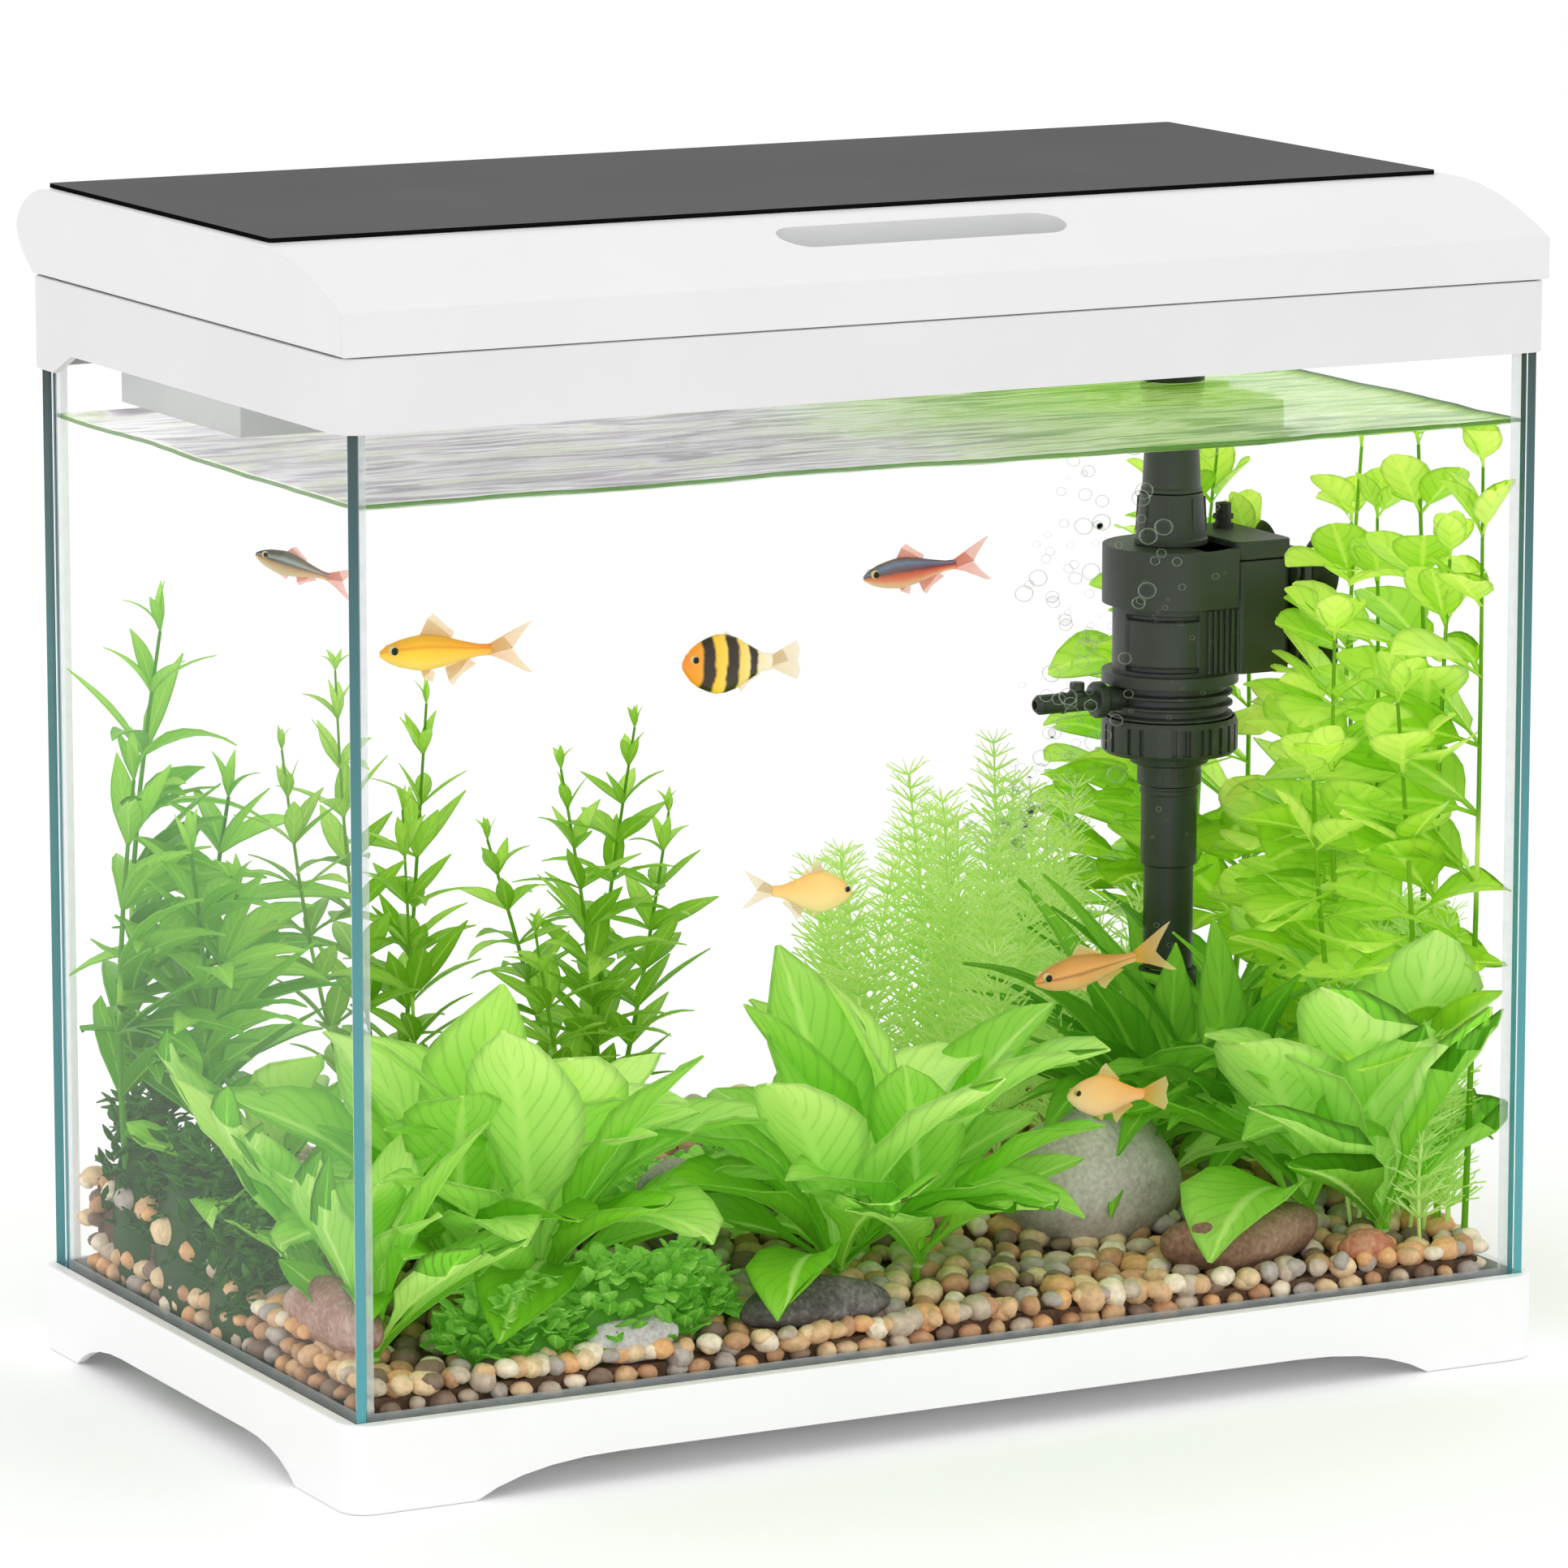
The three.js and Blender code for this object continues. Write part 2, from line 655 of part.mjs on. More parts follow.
function airNozzle() {
  const root = pump.x - threadCore + 0.3;
  const body = unite([
    rodX(pump.y, nozzleZ, 4, nozzleRoot, root),
    rodX(pump.y, nozzleZ, 5.9, nozzleDisc, nozzleRoot + 1),
    rodX(pump.y, nozzleZ, 3.2, nozzleBarb, nozzleDisc + 0.4),
    rodX(pump.y, nozzleZ, 1.8, nozzleTip, nozzleBarb + 0.2, 16, 3.2),
    disc(regulatorX, pump.y, 2.9, nozzleZ, nozzleZ + 3.4, 16),
  ]);
  const bore = rodX(pump.y, nozzleZ, 1.4, nozzleTip - 1, root - 1.5);
  const socket = disc(regulatorX, pump.y, 1.2, nozzleZ, nozzleZ + 5, 12);
  return cut(body, [bore, socket]);
}

function airRegulator() {
  const knob = disc(regulatorX, pump.y, 2.4, nozzleZ + 3.6, nozzleZ + 6.4, 12);
  const stem = disc(regulatorX, pump.y, 1.1, nozzleZ + 1.8, nozzleZ + 4, 12);
  const groove = block(
    regulatorX - 1.6, regulatorX + 1.6, pump.y - 0.4, pump.y + 0.4, nozzleZ + 5.6, nozzleZ + 7);
  return knob.add(stem).subtract(groove);
}

function suctionBracket() {
  const low = cupY[0] - 5;
  const high = cupY[1] + 5;
  const plate = prismX(
    roundedRectangle(low, high, cupZ[0] - 5.5, cupZ[1] + 7, 2), plateX, plateX + plateThick, 0, 2);
  const boss = block(boxRight, plateX + 1, bossFront, bossBack, bossBottom, bossTop);
  const holes = [];
  for (const z of cupZ) {
    for (const y of cupY) {
      holes.push(rodX(y, z, 2.9, plateX - 1, plateX + plateThick + 1, 8));
    }
  }
  return cut(plate.add(boss), holes);
}

function suctionCup(y, z) {
  const plateEnd = plateX + plateThick;
  const solids = unite([
    rodX(y, z, 3.9, boxRight + 0.4, plateX, 8),
    rodX(y, z, 2.6, plateX - 0.5, plateEnd + 1, 8),
    rodX(y, z, 3.6, plateEnd, 194, 8, 5),
    rodX(y, z, 5, 194, 195.6, 12, cupRadius - 1),
    rodX(y, z, cupRadius - 1, 195.6, innerX, 12, cupRadius),
  ]);
  return solids.subtract(rodX(y, z, 4, 195.4, innerX + 1, 12, cupRadius - 1));
}

function pumpGland() {
  const y = (cupY[0] + cupY[1]) / 2 + 10;
  const rings = [0, 3].map((z) => disc(177, y, 3.4, boxTop + z, boxTop + z + 1.4, 10));
  return unite([disc(177, y, 2.6, boxTop, boxTop + 8, 10), ...rings])
    .subtract(disc(177, y, 1.6, boxTop + 2, boxTop + 9, 8));
}

// ---- Gravel and rocks ----
function gravelHeight(x, y) {
  const swell = 1.4 * Math.sin(x * 0.045 + 1) + 1.1 * Math.sin(y * 0.07 + x * 0.021);
  return gravelFront + gravelRise * y / innerBack + swell * Math.min(1, y / 40);
}

function loftGrid(rows) {
  const positions = [];
  const index = [];
  const width = rows[0].length;
  rows.flat().forEach((point) => positions.push(point.x, point.y, point.z));
  const last = width;
  for (let row = 0; row + 1 < rows.length; row += 1) {
    for (let column = 0; column < last; column += 1) {
      const a = row * width + column;
      const b = row * width + (column + 1) % width;
      index.push(a, b + width, b, a, a + width, b + width);
    }
  }
  const geometry = new THREE.BufferGeometry();
  geometry.setAttribute('position', new THREE.Float32BufferAttribute(positions, 3));
  geometry.setIndex(index);
  return geometry;
}

function gravelBed(rocks, stems) {
  const rings = 6;
  const sectors = 9;
  const bed = new THREE.BoxGeometry(2 * innerX, innerBack - glass, 40, sectors, rings, 1);
  bed.translate(0, (glass + innerBack) / 2, waterFloor + 20);
  const place = bed.attributes.position;
  for (let i = 0; i < place.count; i += 1) {
    if (place.getZ(i) > waterFloor + 1) {
      place.setZ(i, gravelHeight(place.getX(i), place.getY(i)));
    }
  }
  return cut(toSolid(bed), [siliconeSeal(), ...rocks, ...stems]);
}

function rockSolid({ at, half, turn, seed }, grow = 0) {
  const geometry = new THREE.IcosahedronGeometry(1, 1);
  const place = geometry.attributes.position;
  const point = new THREE.Vector3();
  for (let i = 0; i < place.count; i += 1) {
    point.fromBufferAttribute(place, i);
    const lumps = Math.sin(point.x * 3.1 + seed) * Math.sin(point.y * 2.7 + seed * 2)
      + 0.6 * Math.sin(point.z * 4.3 + seed * 3);
    point.multiplyScalar(1 + 0.09 * lumps);
    place.setXYZ(i, point.x * (half[0] + grow), point.y * (half[1] + grow), point.z * (half[2] + grow));
  }
  geometry.rotateZ(turn);
  geometry.translate(...at);
  return toSolid(geometry);
}

const rocks = {
  rock_boulder: { at: [86, 72, 54], half: [36, 23, 24], turn: 0.1, seed: 1, color: 0xa8a29c },
  rock_brown: { at: [112, 24, 43], half: [31, 13, 11], turn: 0.1, seed: 2, color: 0x8e7462 },
  rock_orange: { at: [151, 13, 38], half: [10, 6, 6], turn: 0, seed: 3, color: 0xb98468 },
  rock_small_grey: { at: [-45, 98, 54], half: [17, 14, 17], turn: 0.4, seed: 4, color: 0x9a9690 },
  rock_flat_grey: { at: [-40, 19, 40], half: [28, 11, 9], turn: 0.05, seed: 5, color: 0x6f6b68 },
  rock_white: { at: [-103, 14, 38], half: [17, 7, 7], turn: 0, seed: 6, color: 0xc9c6c1 },
  rock_slab: { at: [-184, 50, 46], half: [8.5, 29, 12], turn: 0.05, seed: 7, color: 0xb08a7c },
};

// ---- Plants ----
function leafBlade({ root, yaw, rise, length, width, droop = 0.3, thick = 0.9 }) {
  const forward = new THREE.Vector3(Math.cos(yaw), Math.sin(yaw), 0);
  const side = new THREE.Vector3(-Math.sin(yaw), Math.cos(yaw), 0);
  const stations = [0, 0.5, 1];
  const spread = [0.2, 1, 0.08];
  const rows = stations.map((s, i) => {
    const centre = root.clone().addScaledVector(forward, length * s * Math.cos(rise));
    centre.z += length * (s * Math.sin(rise) - droop * s * s);
    const half = width * spread[i] / 2;
    const body = thick * (1 - 0.6 * s) / 2;
    return [
      centre.clone().addScaledVector(side, half),
      centre.clone().add(new THREE.Vector3(0, 0, -body)),
      centre.clone().addScaledVector(side, -half),
      centre.clone().add(new THREE.Vector3(0, 0, body)),
    ];
  });
  const geometry = loftGrid(rows);
  const index = Array.from(geometry.index.array);
  const end = (rows.length - 1) * 4;
  index.push(0, 1, 3, 1, 2, 3, end, end + 3, end + 1, end + 1, end + 3, end + 2);
  geometry.setIndex(index);
  return toSolid(geometry);
}

function stalk(x, y, z0, z1, radius) {
  return disc(x, y, radius, z0, z1, 8, radius * 0.6);
}

function rosette({ x, y, count, length, width, rise, top }) {
  const z = gravelHeight(x, y);
  const parts = [disc(x, y, rootRadius, z - 5, z + 7, 8, 2.4)];
  for (let i = 0; i < count; i += 1) {
    const lift = i % 2 ? rise : rise + 0.3;
    parts.push(leafBlade({
      root: new THREE.Vector3(x, y, z + 4), yaw: i * 2.4, rise: lift, length: i % 2 ? length : top,
      width, droop: 0.25,
    }));
  }
  return unite(parts);
}

function stemPlant({ x, y, top, count, length, width, rise }) {
  const z = gravelHeight(x, y);
  const parts = [stalk(x, y, z - 5, top, 2)];
  for (let i = 0; i < count; i += 1) {
    const share = (i + 1) / count;
    parts.push(leafBlade({
      root: new THREE.Vector3(x, y, z + 12 + (top - z - 20) * share), yaw: i * 2.4 + x,
      rise, length, width, droop: 0.2, thick: 1.2,
    }));
  }
  return unite(parts);
}

function tuft({ x, y, radius, height, seed }) {
  const z = gravelHeight(x, y);
  const geometry = new THREE.IcosahedronGeometry(1, 1);
  const place = geometry.attributes.position;
  for (let i = 0; i < place.count; i += 1) {
    const lumps = 1 + 0.08 * Math.sin(place.getX(i) * 7 + seed) * Math.cos(place.getZ(i) * 6 + seed);
    const wide = radius * lumps;
    place.setXYZ(i, place.getX(i) * wide, place.getY(i) * wide, place.getZ(i) * height / 2);
  }
  geometry.translate(x, y, z + height / 2 + 5);
  return toSolid(geometry).add(disc(x, y, rootRadius, z - 5, z + 12, 8));
}

const plants = {
  plant_lance_left: [stemPlant, { x: -172, y: 196, top: 232, count: 9, length: 20, width: 7, rise: 0.8 }],
  plant_stem_corner: [stemPlant, { x: -112, y: 185, top: 198, count: 7, length: 20, width: 4, rise: 0.6 }],
  plant_stem_centre: [stemPlant, { x: -34, y: 178, top: 186, count: 9, length: 24, width: 5, rise: 0.5 }],
  plant_feather_centre: [tuft, { x: 66, y: 182, radius: 24, height: 112, seed: 1 }],
  plant_feather_right: [tuft, { x: 178, y: 96, radius: 15, height: 86, seed: 2 }],
  plant_round_right: [stemPlant, { x: 180, y: 62, top: 276, count: 10, length: 15, width: 11, rise: 0.5 }],
  plant_round_back: [stemPlant, { x: 178, y: 198, top: 268, count: 9, length: 17, width: 12, rise: 0.5 }],
  plant_grass: [rosette, { x: 122, y: 112, count: 6, length: 20, width: 3, rise: 1.1, top: 60 }],
  plant_broad_left: [rosette, { x: -129, y: 66, count: 7, length: 46, width: 13, rise: 0.9, top: 78 }],
  plant_broad_side: [rosette, { x: -170, y: 108, count: 6, length: 27, width: 10, rise: 1, top: 60 }],
  plant_broad_centre: [rosette, { x: -4, y: 48, count: 7, length: 40, width: 13, rise: 0.9, top: 70 }],
  plant_broad_right: [rosette, { x: 168, y: 28, count: 7, length: 26, width: 12, rise: 1, top: 62 }],
  plant_carpet: [tuft, { x: -84, y: 27, radius: 17, height: 22, seed: 4 }],
  plant_moss: [tuft, { x: -146, y: 140, radius: 14, height: 40, seed: 5 }],
};

function rootRoom({ x, y }) {
  const z = gravelHeight(x, y);
  return disc(x, y, rootRadius + 0.4, z - 5.4, z + 12, 8);
}

// ---- Assembly ----
add('base_frame', baseFrame(), whitePlastic, 0.35);
const foamMat = block(-halfWidth + 1, halfWidth - 1, 1, tankDepth - 1, ledgeTop, glassFloor);
add('foam_mat', foamMat, 0x3a3a3a, 0.95);
addGlassBox();
add('silicone_seal', siliconeSeal(), 0xd7dedd, 0.3, 0, 0.6);
add('top_frame', topFrame(), whitePlastic, 0.35);
add('cable_grommet', cableGrommet(), 0x2c2d2e, 0.7);

const rockCutters = Object.values(rocks).map((rock) => rockSolid(rock, 0.4));
const plantSolids = Object.entries(plants).map(([name, [grow, settings]]) => [name, grow(settings)]);
const rootRooms = Object.values(plants).map(([grow, settings]) => rootRoom(settings));
add('gravel_bed', gravelBed(rockCutters, rootRooms), 0xb59a7c, 0.85);
for (const [name, rock] of Object.entries(rocks)) {
  add(name, rockSolid(rock), rock.color, 0.9);
}
for (const [name, solid] of plantSolids) {
  add(name, solid, 0x6fae2c, 0.6);
}

add('lid_shell', lidShell(), 0xf4f4f4, 0.3);
add('lid_panel', lidPanel(), 0x696969, 0.3);
add('hinge_pin_left', hingePin(-hingeX), 0xb8babc, 0.35, 1);
add('hinge_pin_right', hingePin(hingeX), 0xb8babc, 0.35, 1);
add('led_housing', ledHousing(), 0xe6e6e6, 0.4);
add('led_board', ledBoard(), 0xf2f2ee, 0.5);
add('led_lens', ledLens(), 0xf8f8f5, 0.2, 0, 0.7);

add('filter_tray', filterTray(), 0xe4e7e7, 0.45);
add('filter_sponge', filterSponge(), 0x2f3a44, 0.95);
add('outlet_elbow', outletElbow(), darkPlastic, 0.45);
add('pump_body', pumpBody(), darkPlastic, 0.45);
add('pump_head', pumpHead(), darkPlastic, 0.45);
add('outlet_collar', outletCollar(), darkPlastic, 0.45);
add('riser_tube', riserTube(), darkPlastic, 0.45);
add('union_nut', unionNut(), darkPlastic, 0.45);
add('intake_adapter', intakeAdapter(), darkPlastic, 0.45);
add('intake_tube', intakeTube(), darkPlastic, 0.45);
add('intake_strainer', intakeStrainer(), darkPlastic, 0.45);
add('impeller', impeller(), 0x2b2b2c, 0.5);
add('impeller_shaft', impellerShaft(), 0xe8e6e0, 0.3);
add('air_nozzle', airNozzle(), darkPlastic, 0.45);
add('air_regulator', airRegulator(), 0x3a3b3b, 0.45);
add('suction_bracket', suctionBracket(), darkPlastic, 0.45);
let cupNumber = 1;
for (const z of cupZ) {
  for (const y of cupY) {
    add(`suction_cup_${cupNumber}`, suctionCup(y, z), 0x2e2f30, 0.6);
    cupNumber += 1;
  }
}
add('pump_gland', pumpGland(), 0x2c2d2e, 0.6);

export default model;
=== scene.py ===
import math
import random
import bmesh
import bpy
import numpy as np
from mathutils import Matrix, Vector


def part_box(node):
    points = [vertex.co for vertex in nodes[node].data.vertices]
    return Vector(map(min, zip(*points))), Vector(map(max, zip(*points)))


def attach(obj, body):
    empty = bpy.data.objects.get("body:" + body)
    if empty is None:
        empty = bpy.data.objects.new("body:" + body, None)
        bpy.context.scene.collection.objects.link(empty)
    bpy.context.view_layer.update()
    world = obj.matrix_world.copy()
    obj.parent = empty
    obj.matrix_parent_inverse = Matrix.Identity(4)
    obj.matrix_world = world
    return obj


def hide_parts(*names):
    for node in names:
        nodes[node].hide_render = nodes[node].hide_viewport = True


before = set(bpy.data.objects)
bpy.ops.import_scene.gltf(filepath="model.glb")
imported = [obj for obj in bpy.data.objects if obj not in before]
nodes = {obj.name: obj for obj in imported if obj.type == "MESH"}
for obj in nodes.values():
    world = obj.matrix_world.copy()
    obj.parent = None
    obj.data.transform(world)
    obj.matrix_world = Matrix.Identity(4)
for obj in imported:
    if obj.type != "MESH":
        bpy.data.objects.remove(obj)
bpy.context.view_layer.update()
print("frame loaded")

mm = 0.001
weldGap = 0.01 * mm
backShift = 116.85  # the tank's front glass lies this far in front of the middle of the whole
insideX = 196.4     # leaves and pebbles stop this far from the middle, just short of the glass
insideFront = 3.6
insideBack = 221.4
insideTop = 292.5   # and just below the water surface
midY = 112.5        # the middle of the tank from its front glass
fullTurn = 6.28     # a full turn for random placing


def at(x, y, z):
    # millimetres, with y from the front glass, to metres in the frame
    return Vector((x * mm, (y - backShift) * mm, z * mm))


# working with objects
def pickOnly(*objects):
    bpy.ops.object.select_all(action="DESELECT")
    for item in objects:
        item.select_set(True)
    bpy.context.view_layer.objects.active = objects[0]


def applyPlace(item):
    pickOnly(item)
    bpy.ops.object.transform_apply(location=True, rotation=True, scale=True)


def finishWith(item, kind, **settings):
    pickOnly(item)
    modifier = item.modifiers.new(kind.title(), kind)
    for key, value in settings.items():
        setattr(modifier, key, value)
    bpy.ops.object.modifier_apply(modifier=modifier.name)


def editAll():
    bpy.ops.object.mode_set(mode="EDIT")
    bpy.ops.mesh.select_all(action="SELECT")


def leaveEdit():
    bpy.ops.object.mode_set(mode="OBJECT")


def choose(item, test, kind="VERT"):
    # in edit mode: selects what the test says
    bpy.ops.mesh.select_mode(type=kind)
    bpy.ops.mesh.select_all(action="DESELECT")
    mesh = bmesh.from_edit_mesh(item.data)
    for part in {"VERT": mesh.verts, "EDGE": mesh.edges, "FACE": mesh.faces}[kind]:
        if test(part):
            part.select_set(True)
    mesh.select_flush_mode()
    bmesh.update_edit_mesh(item.data)


def copyOf(item, matrix, toneAndPaintedLight=None):
    # a copy with its own mesh; toneAndPaintedLight is a value from 0 to 1 that its material reads: a pebble's
    # own tone, and on leaves their painted light and shade
    mesh = item.data.copy()
    mesh.transform(matrix)
    if toneAndPaintedLight is not None:
        shades = mesh.attributes.get("toneAndPaintedLight") or mesh.attributes.new("toneAndPaintedLight", "FLOAT", "FACE")
        shades.data.foreach_set("value", [toneAndPaintedLight] * len(mesh.polygons))
    twin = bpy.data.objects.new(item.name + "Copy", mesh)
    bpy.context.scene.collection.objects.link(twin)
    return twin


def joinAll(parts, name):
    pickOnly(*parts)
    if len(parts) > 1:
        bpy.ops.object.join()
    whole = bpy.context.view_layer.objects.active
    whole.name = name
    whole.data.name = name
    return whole


plainTone = 0.4


def gather(placed, name):
    # one mesh from many placed copies: each is (shape, matrix, toneAndPaintedLight)
    bare = {}
    for shape in {p[0] for p in placed}:
        mesh = shape.data
        spots = np.empty(len(mesh.vertices) * 3, np.float64)
        mesh.vertices.foreach_get("co", spots)
        corners = np.empty(len(mesh.loops), np.int32)
        mesh.loops.foreach_get("vertex_index", corners)
        sizes = np.empty(len(mesh.polygons), np.int32)
        mesh.polygons.foreach_get("loop_total", sizes)
        flat = np.zeros(len(mesh.loops) * 2, np.float32)
        if mesh.uv_layers:
            mesh.uv_layers[0].data.foreach_get("uv", flat)
        bare[shape] = spots.reshape(-1, 3), corners, sizes, flat
    spots, corners, sizes, flats, tones = [], [], [], [], []
    start = 0
    for shape, matrix, toneAndPaintedLight in placed:
        co, corner, size, flat = bare[shape]
        turn = np.array(matrix)
        spots.append(co @ turn[:3, :3].T + turn[:3, 3])
        corners.append(corner + start)
        sizes.append(size)
        flats.append(flat)
        tones.append(np.full(len(size), plainTone if toneAndPaintedLight is None else toneAndPaintedLight, np.float32))
        start += len(co)
    spots, corners, sizes = np.concatenate(spots), np.concatenate(corners), np.concatenate(sizes)
    mesh = bpy.data.meshes.new(name)
    mesh.vertices.add(len(spots))
    mesh.vertices.foreach_set("co", spots.ravel())
    mesh.loops.add(len(corners))
    mesh.loops.foreach_set("vertex_index", corners)
    mesh.polygons.add(len(sizes))
    mesh.polygons.foreach_set("loop_start", np.cumsum(sizes) - sizes)
    mesh.uv_layers.new(name="UVMap").data.foreach_set("uv", np.concatenate(flats))
    mesh.attributes.new("toneAndPaintedLight", "FLOAT", "FACE").data.foreach_set("value", np.concatenate(tones))
    mesh.update(calc_edges=True)
    mesh.validate()
    mesh.polygons.foreach_set("use_smooth", [True] * len(sizes))
    whole = bpy.data.objects.new(name, mesh)
    bpy.context.scene.collection.objects.link(whole)
    smoothBy(whole, 60)
    return whole


def throwAway(items):
    for item in items:
        bpy.data.objects.remove(item)


def paint(item, *materials):
    item.data.materials.clear()
    for material in materials:
        item.data.materials.append(material)


def pushWithClouds(item, name, waves):
    # pushes the surface in and out with clouds, each of a size and a height in millimetres
    for size, height in waves:
        cloud = bpy.data.textures.new(name, "CLOUDS")
        cloud.noise_scale = size * mm
        finishWith(item, "DISPLACE", texture=cloud, strength=height * mm, mid_level=0.5,
                   texture_coords="LOCAL")


def roundEdges(item, width, angle=35):
    finishWith(item, "BEVEL", width=width * mm, segments=2, limit_method="ANGLE",
               angle_limit=math.radians(angle), harden_normals=False)


def smoothBy(item, angle=35):
    pickOnly(item)
    bpy.ops.object.shade_smooth_by_angle(angle=math.radians(angle))


def put(item, name, body, stands=(), slotName=None):
    item.name = name
    item.data.name = name
    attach(item, body)
    if stands:
        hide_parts(*stands)
        slotName = slotName or stands[0]


def cleanCopy(nodeName):
    # the CAD shape as one welded mesh with flat faces whole again
    twin = copyOf(nodes[nodeName], Matrix.Identity(4))
    pickOnly(twin)
    bpy.ops.mesh.customdata_custom_splitnormals_clear()
    editAll()
    bpy.ops.mesh.remove_doubles(threshold=weldGap)
    bpy.ops.mesh.dissolve_limited(angle_limit=math.radians(0.6))
    leaveEdit()
    return twin


# working with materials
def toLinear(code):
    shares = [int(code[i:i + 2], 16) / 255 for i in (1, 3, 5)]
    return tuple(s / 12.92 if s <= 0.04045 else ((s + 0.055) / 1.055) ** 2.4 for s in shares) + (1.0,)


def startMaterial(name, sockets):
    material = bpy.data.materials.new(name)
    material.use_nodes = True
    shader = material.node_tree.nodes["Principled BSDF"]
    for key, value in sockets.items():
        shader.inputs[key].default_value = toLinear(value) if isinstance(value, str) else value
    return material, shader


def startBare(name):
    # a material with no nodes yet
    material = bpy.data.materials.new(name)
    material.use_nodes = True
    material.node_tree.nodes.clear()
    return material


def connect(material, source, target):
    # the source is a socket, or a node whose first live output is meant
    if isinstance(source, bpy.types.Node):
        source = next(socket for socket in source.outputs if socket.enabled)
    material.node_tree.links.new(source, target)


def addNode(material, kind, inputs=None, stops=None, **settings):
    # an input is a number, a hex colour, a socket or another node
    node = material.node_tree.nodes.new("ShaderNode" + kind)
    for key, value in settings.items():
        setattr(node, key, value)
    if stops:
        ramp = node.color_ramp.elements
        ramp[0].position, ramp[0].color = stops[0][0], toLinear(stops[0][1])
        ramp[-1].position, ramp[-1].color = stops[-1][0], toLinear(stops[-1][1])
        for place, code in stops[1:-1]:
            ramp.new(place).color = toLinear(code)
    for key, value in (inputs or {}).items():
        if isinstance(value, (bpy.types.Node, bpy.types.NodeSocket)):
            connect(material, value, node.inputs[key])
        elif isinstance(value, str):
            node.inputs[key].default_value = toLinear(value)
        else:
            node.inputs[key].default_value = value
    return node


def onSurface(material):
    return addNode(material, "TexCoord").outputs["Object"]


def roughen(material, shader, size, strength, detail=4.0, distance=0.1):
    # bump from noise whose grains are size millimetres wide
    grain = addNode(material, "TexNoise",
                    {"Vector": onSurface(material), "Scale": 1000 / size, "Detail": detail})
    bump = addNode(material, "Bump", {"Strength": strength, "Distance": distance * mm, "Height": grain})
    connect(material, bump, shader.inputs["Normal"])


def mottle(material, shader, size, stops, detail=3.0):
    # colour that wanders between the stops over size millimetres
    cloud = addNode(material, "TexNoise",
                    {"Vector": onSurface(material), "Scale": 1000 / size, "Detail": detail})
    connect(material, addNode(material, "ValToRGB", {"Fac": cloud}, stops), shader.inputs["Base Color"])


def wearShine(material, shader, size, low, high):
    # roughness that drifts from low to high, as handling leaves it
    patch = addNode(material, "TexNoise",
                    {"Vector": onSurface(material), "Scale": 1000 / size, "Detail": 2.0})
    span = addNode(material, "MapRange", {"Value": patch, "From Min": 0.3, "From Max": 0.7,
                                          "To Min": low, "To Max": high})
    connect(material, span, shader.inputs["Roughness"])


def colourAndGlow(material, shader, colour, strength):
    # one colour for the surface and for a painted glow: the little light it gives out, though it is no lamp
    connect(material, colour, shader.inputs["Base Color"])
    connect(material, colour, shader.inputs["Emission Color"])
    shader.inputs["Emission Strength"].default_value = strength


# moulded white ABS: soft satin light with a faint orange peel
def mouldedAbs(name, dark, light, low=0.3, high=0.4):
    material, shader = startMaterial(name, {"IOR": 1.54})
    mottle(material, shader, 60, [(0.35, dark), (0.65, light)])
    wearShine(material, shader, 45, low, high)
    roughen(material, shader, 2.2, 0.05, 2.0)
    return material


# the one white moulded ABS in lit and shaded copies: painted lighter on the base, where the floor's shade
# falls, and painted darker on the top frame and the lid
frameAbsShadedCopy = mouldedAbs("frameMouldedAbsShadedCopy", "#dfdfdf", "#e2e2e2")
baseAbsLitCopy = mouldedAbs("baseMouldedAbsLitCopy", "#f8f8f8", "#fbfbfb")
lidAbsShadedCopy = mouldedAbs("lidMouldedAbsShadedCopy", "#e4e4e4", "#e6e6e6", 0.3, 0.36)
# painted shade: the grey of the shade inside the lid's grip recess
gripShadeGrey = mouldedAbs("gripPaintedShadeGrey", "#a6a9a9", "#b6b9b9")
trayAbs = mouldedAbs("trayMilkyAbs", "#dfe2e2", "#e9ebeb")
# moulded black ABS under water: dark grey, dull sheen, fine spark texture
pumpAbs = mouldedAbs("pumpBlackAbs", "#323434", "#383a3a", 0.42, 0.55)
rotorAbs = mouldedAbs("rotorBlackAbs", "#1f2020", "#282929", 0.4, 0.5)


def rubberMaterial(name, dark, light):
    # moulded nitrile rubber: deep grey, soft broad highlight
    material, shader = startMaterial(name, {"IOR": 1.5})
    mottle(material, shader, 8, [(0.3, dark), (0.7, light)])
    wearShine(material, shader, 10, 0.5, 0.7)
    roughen(material, shader, 0.9, 0.12)
    return material


cupRubber = rubberMaterial("cupRubber", "#262728", "#313233")
grommetRubber = rubberMaterial("grommetRubber", "#232425", "#2c2d2e")


def panelMaterial():
    # smoked tempered panel: a ground black edge, and on the upward face a flat mid grey that is painted
    # reflection of the bright sky
    material, shader = startMaterial(
        "smokedPanel", {"Roughness": 0.55, "IOR": 1.2, "Specular IOR Level": 0.0})
    normal = addNode(material, "TexCoord").outputs["Normal"]
    up = addNode(material, "SeparateXYZ", {"Vector": normal}).outputs["Z"]
    face = addNode(material, "TexNoise", {"Vector": onSurface(material), "Scale": 12.0, "Detail": 2.0})
    tint = addNode(material, "ValToRGB", {"Fac": face}, [(0.3, "#626262"), (0.7, "#656565")])
    # painted reflection: only faces turned upwards take the mid grey
    mask = addNode(material, "Math", {0: up, 1: 0.6}, operation="GREATER_THAN")
    both = addNode(material, "Mix", {"Factor": mask, "A": "#121212", "B": tint}, data_type="RGBA")
    connect(material, both, shader.inputs["Base Color"])
    return material


smokedPanel = panelMaterial()


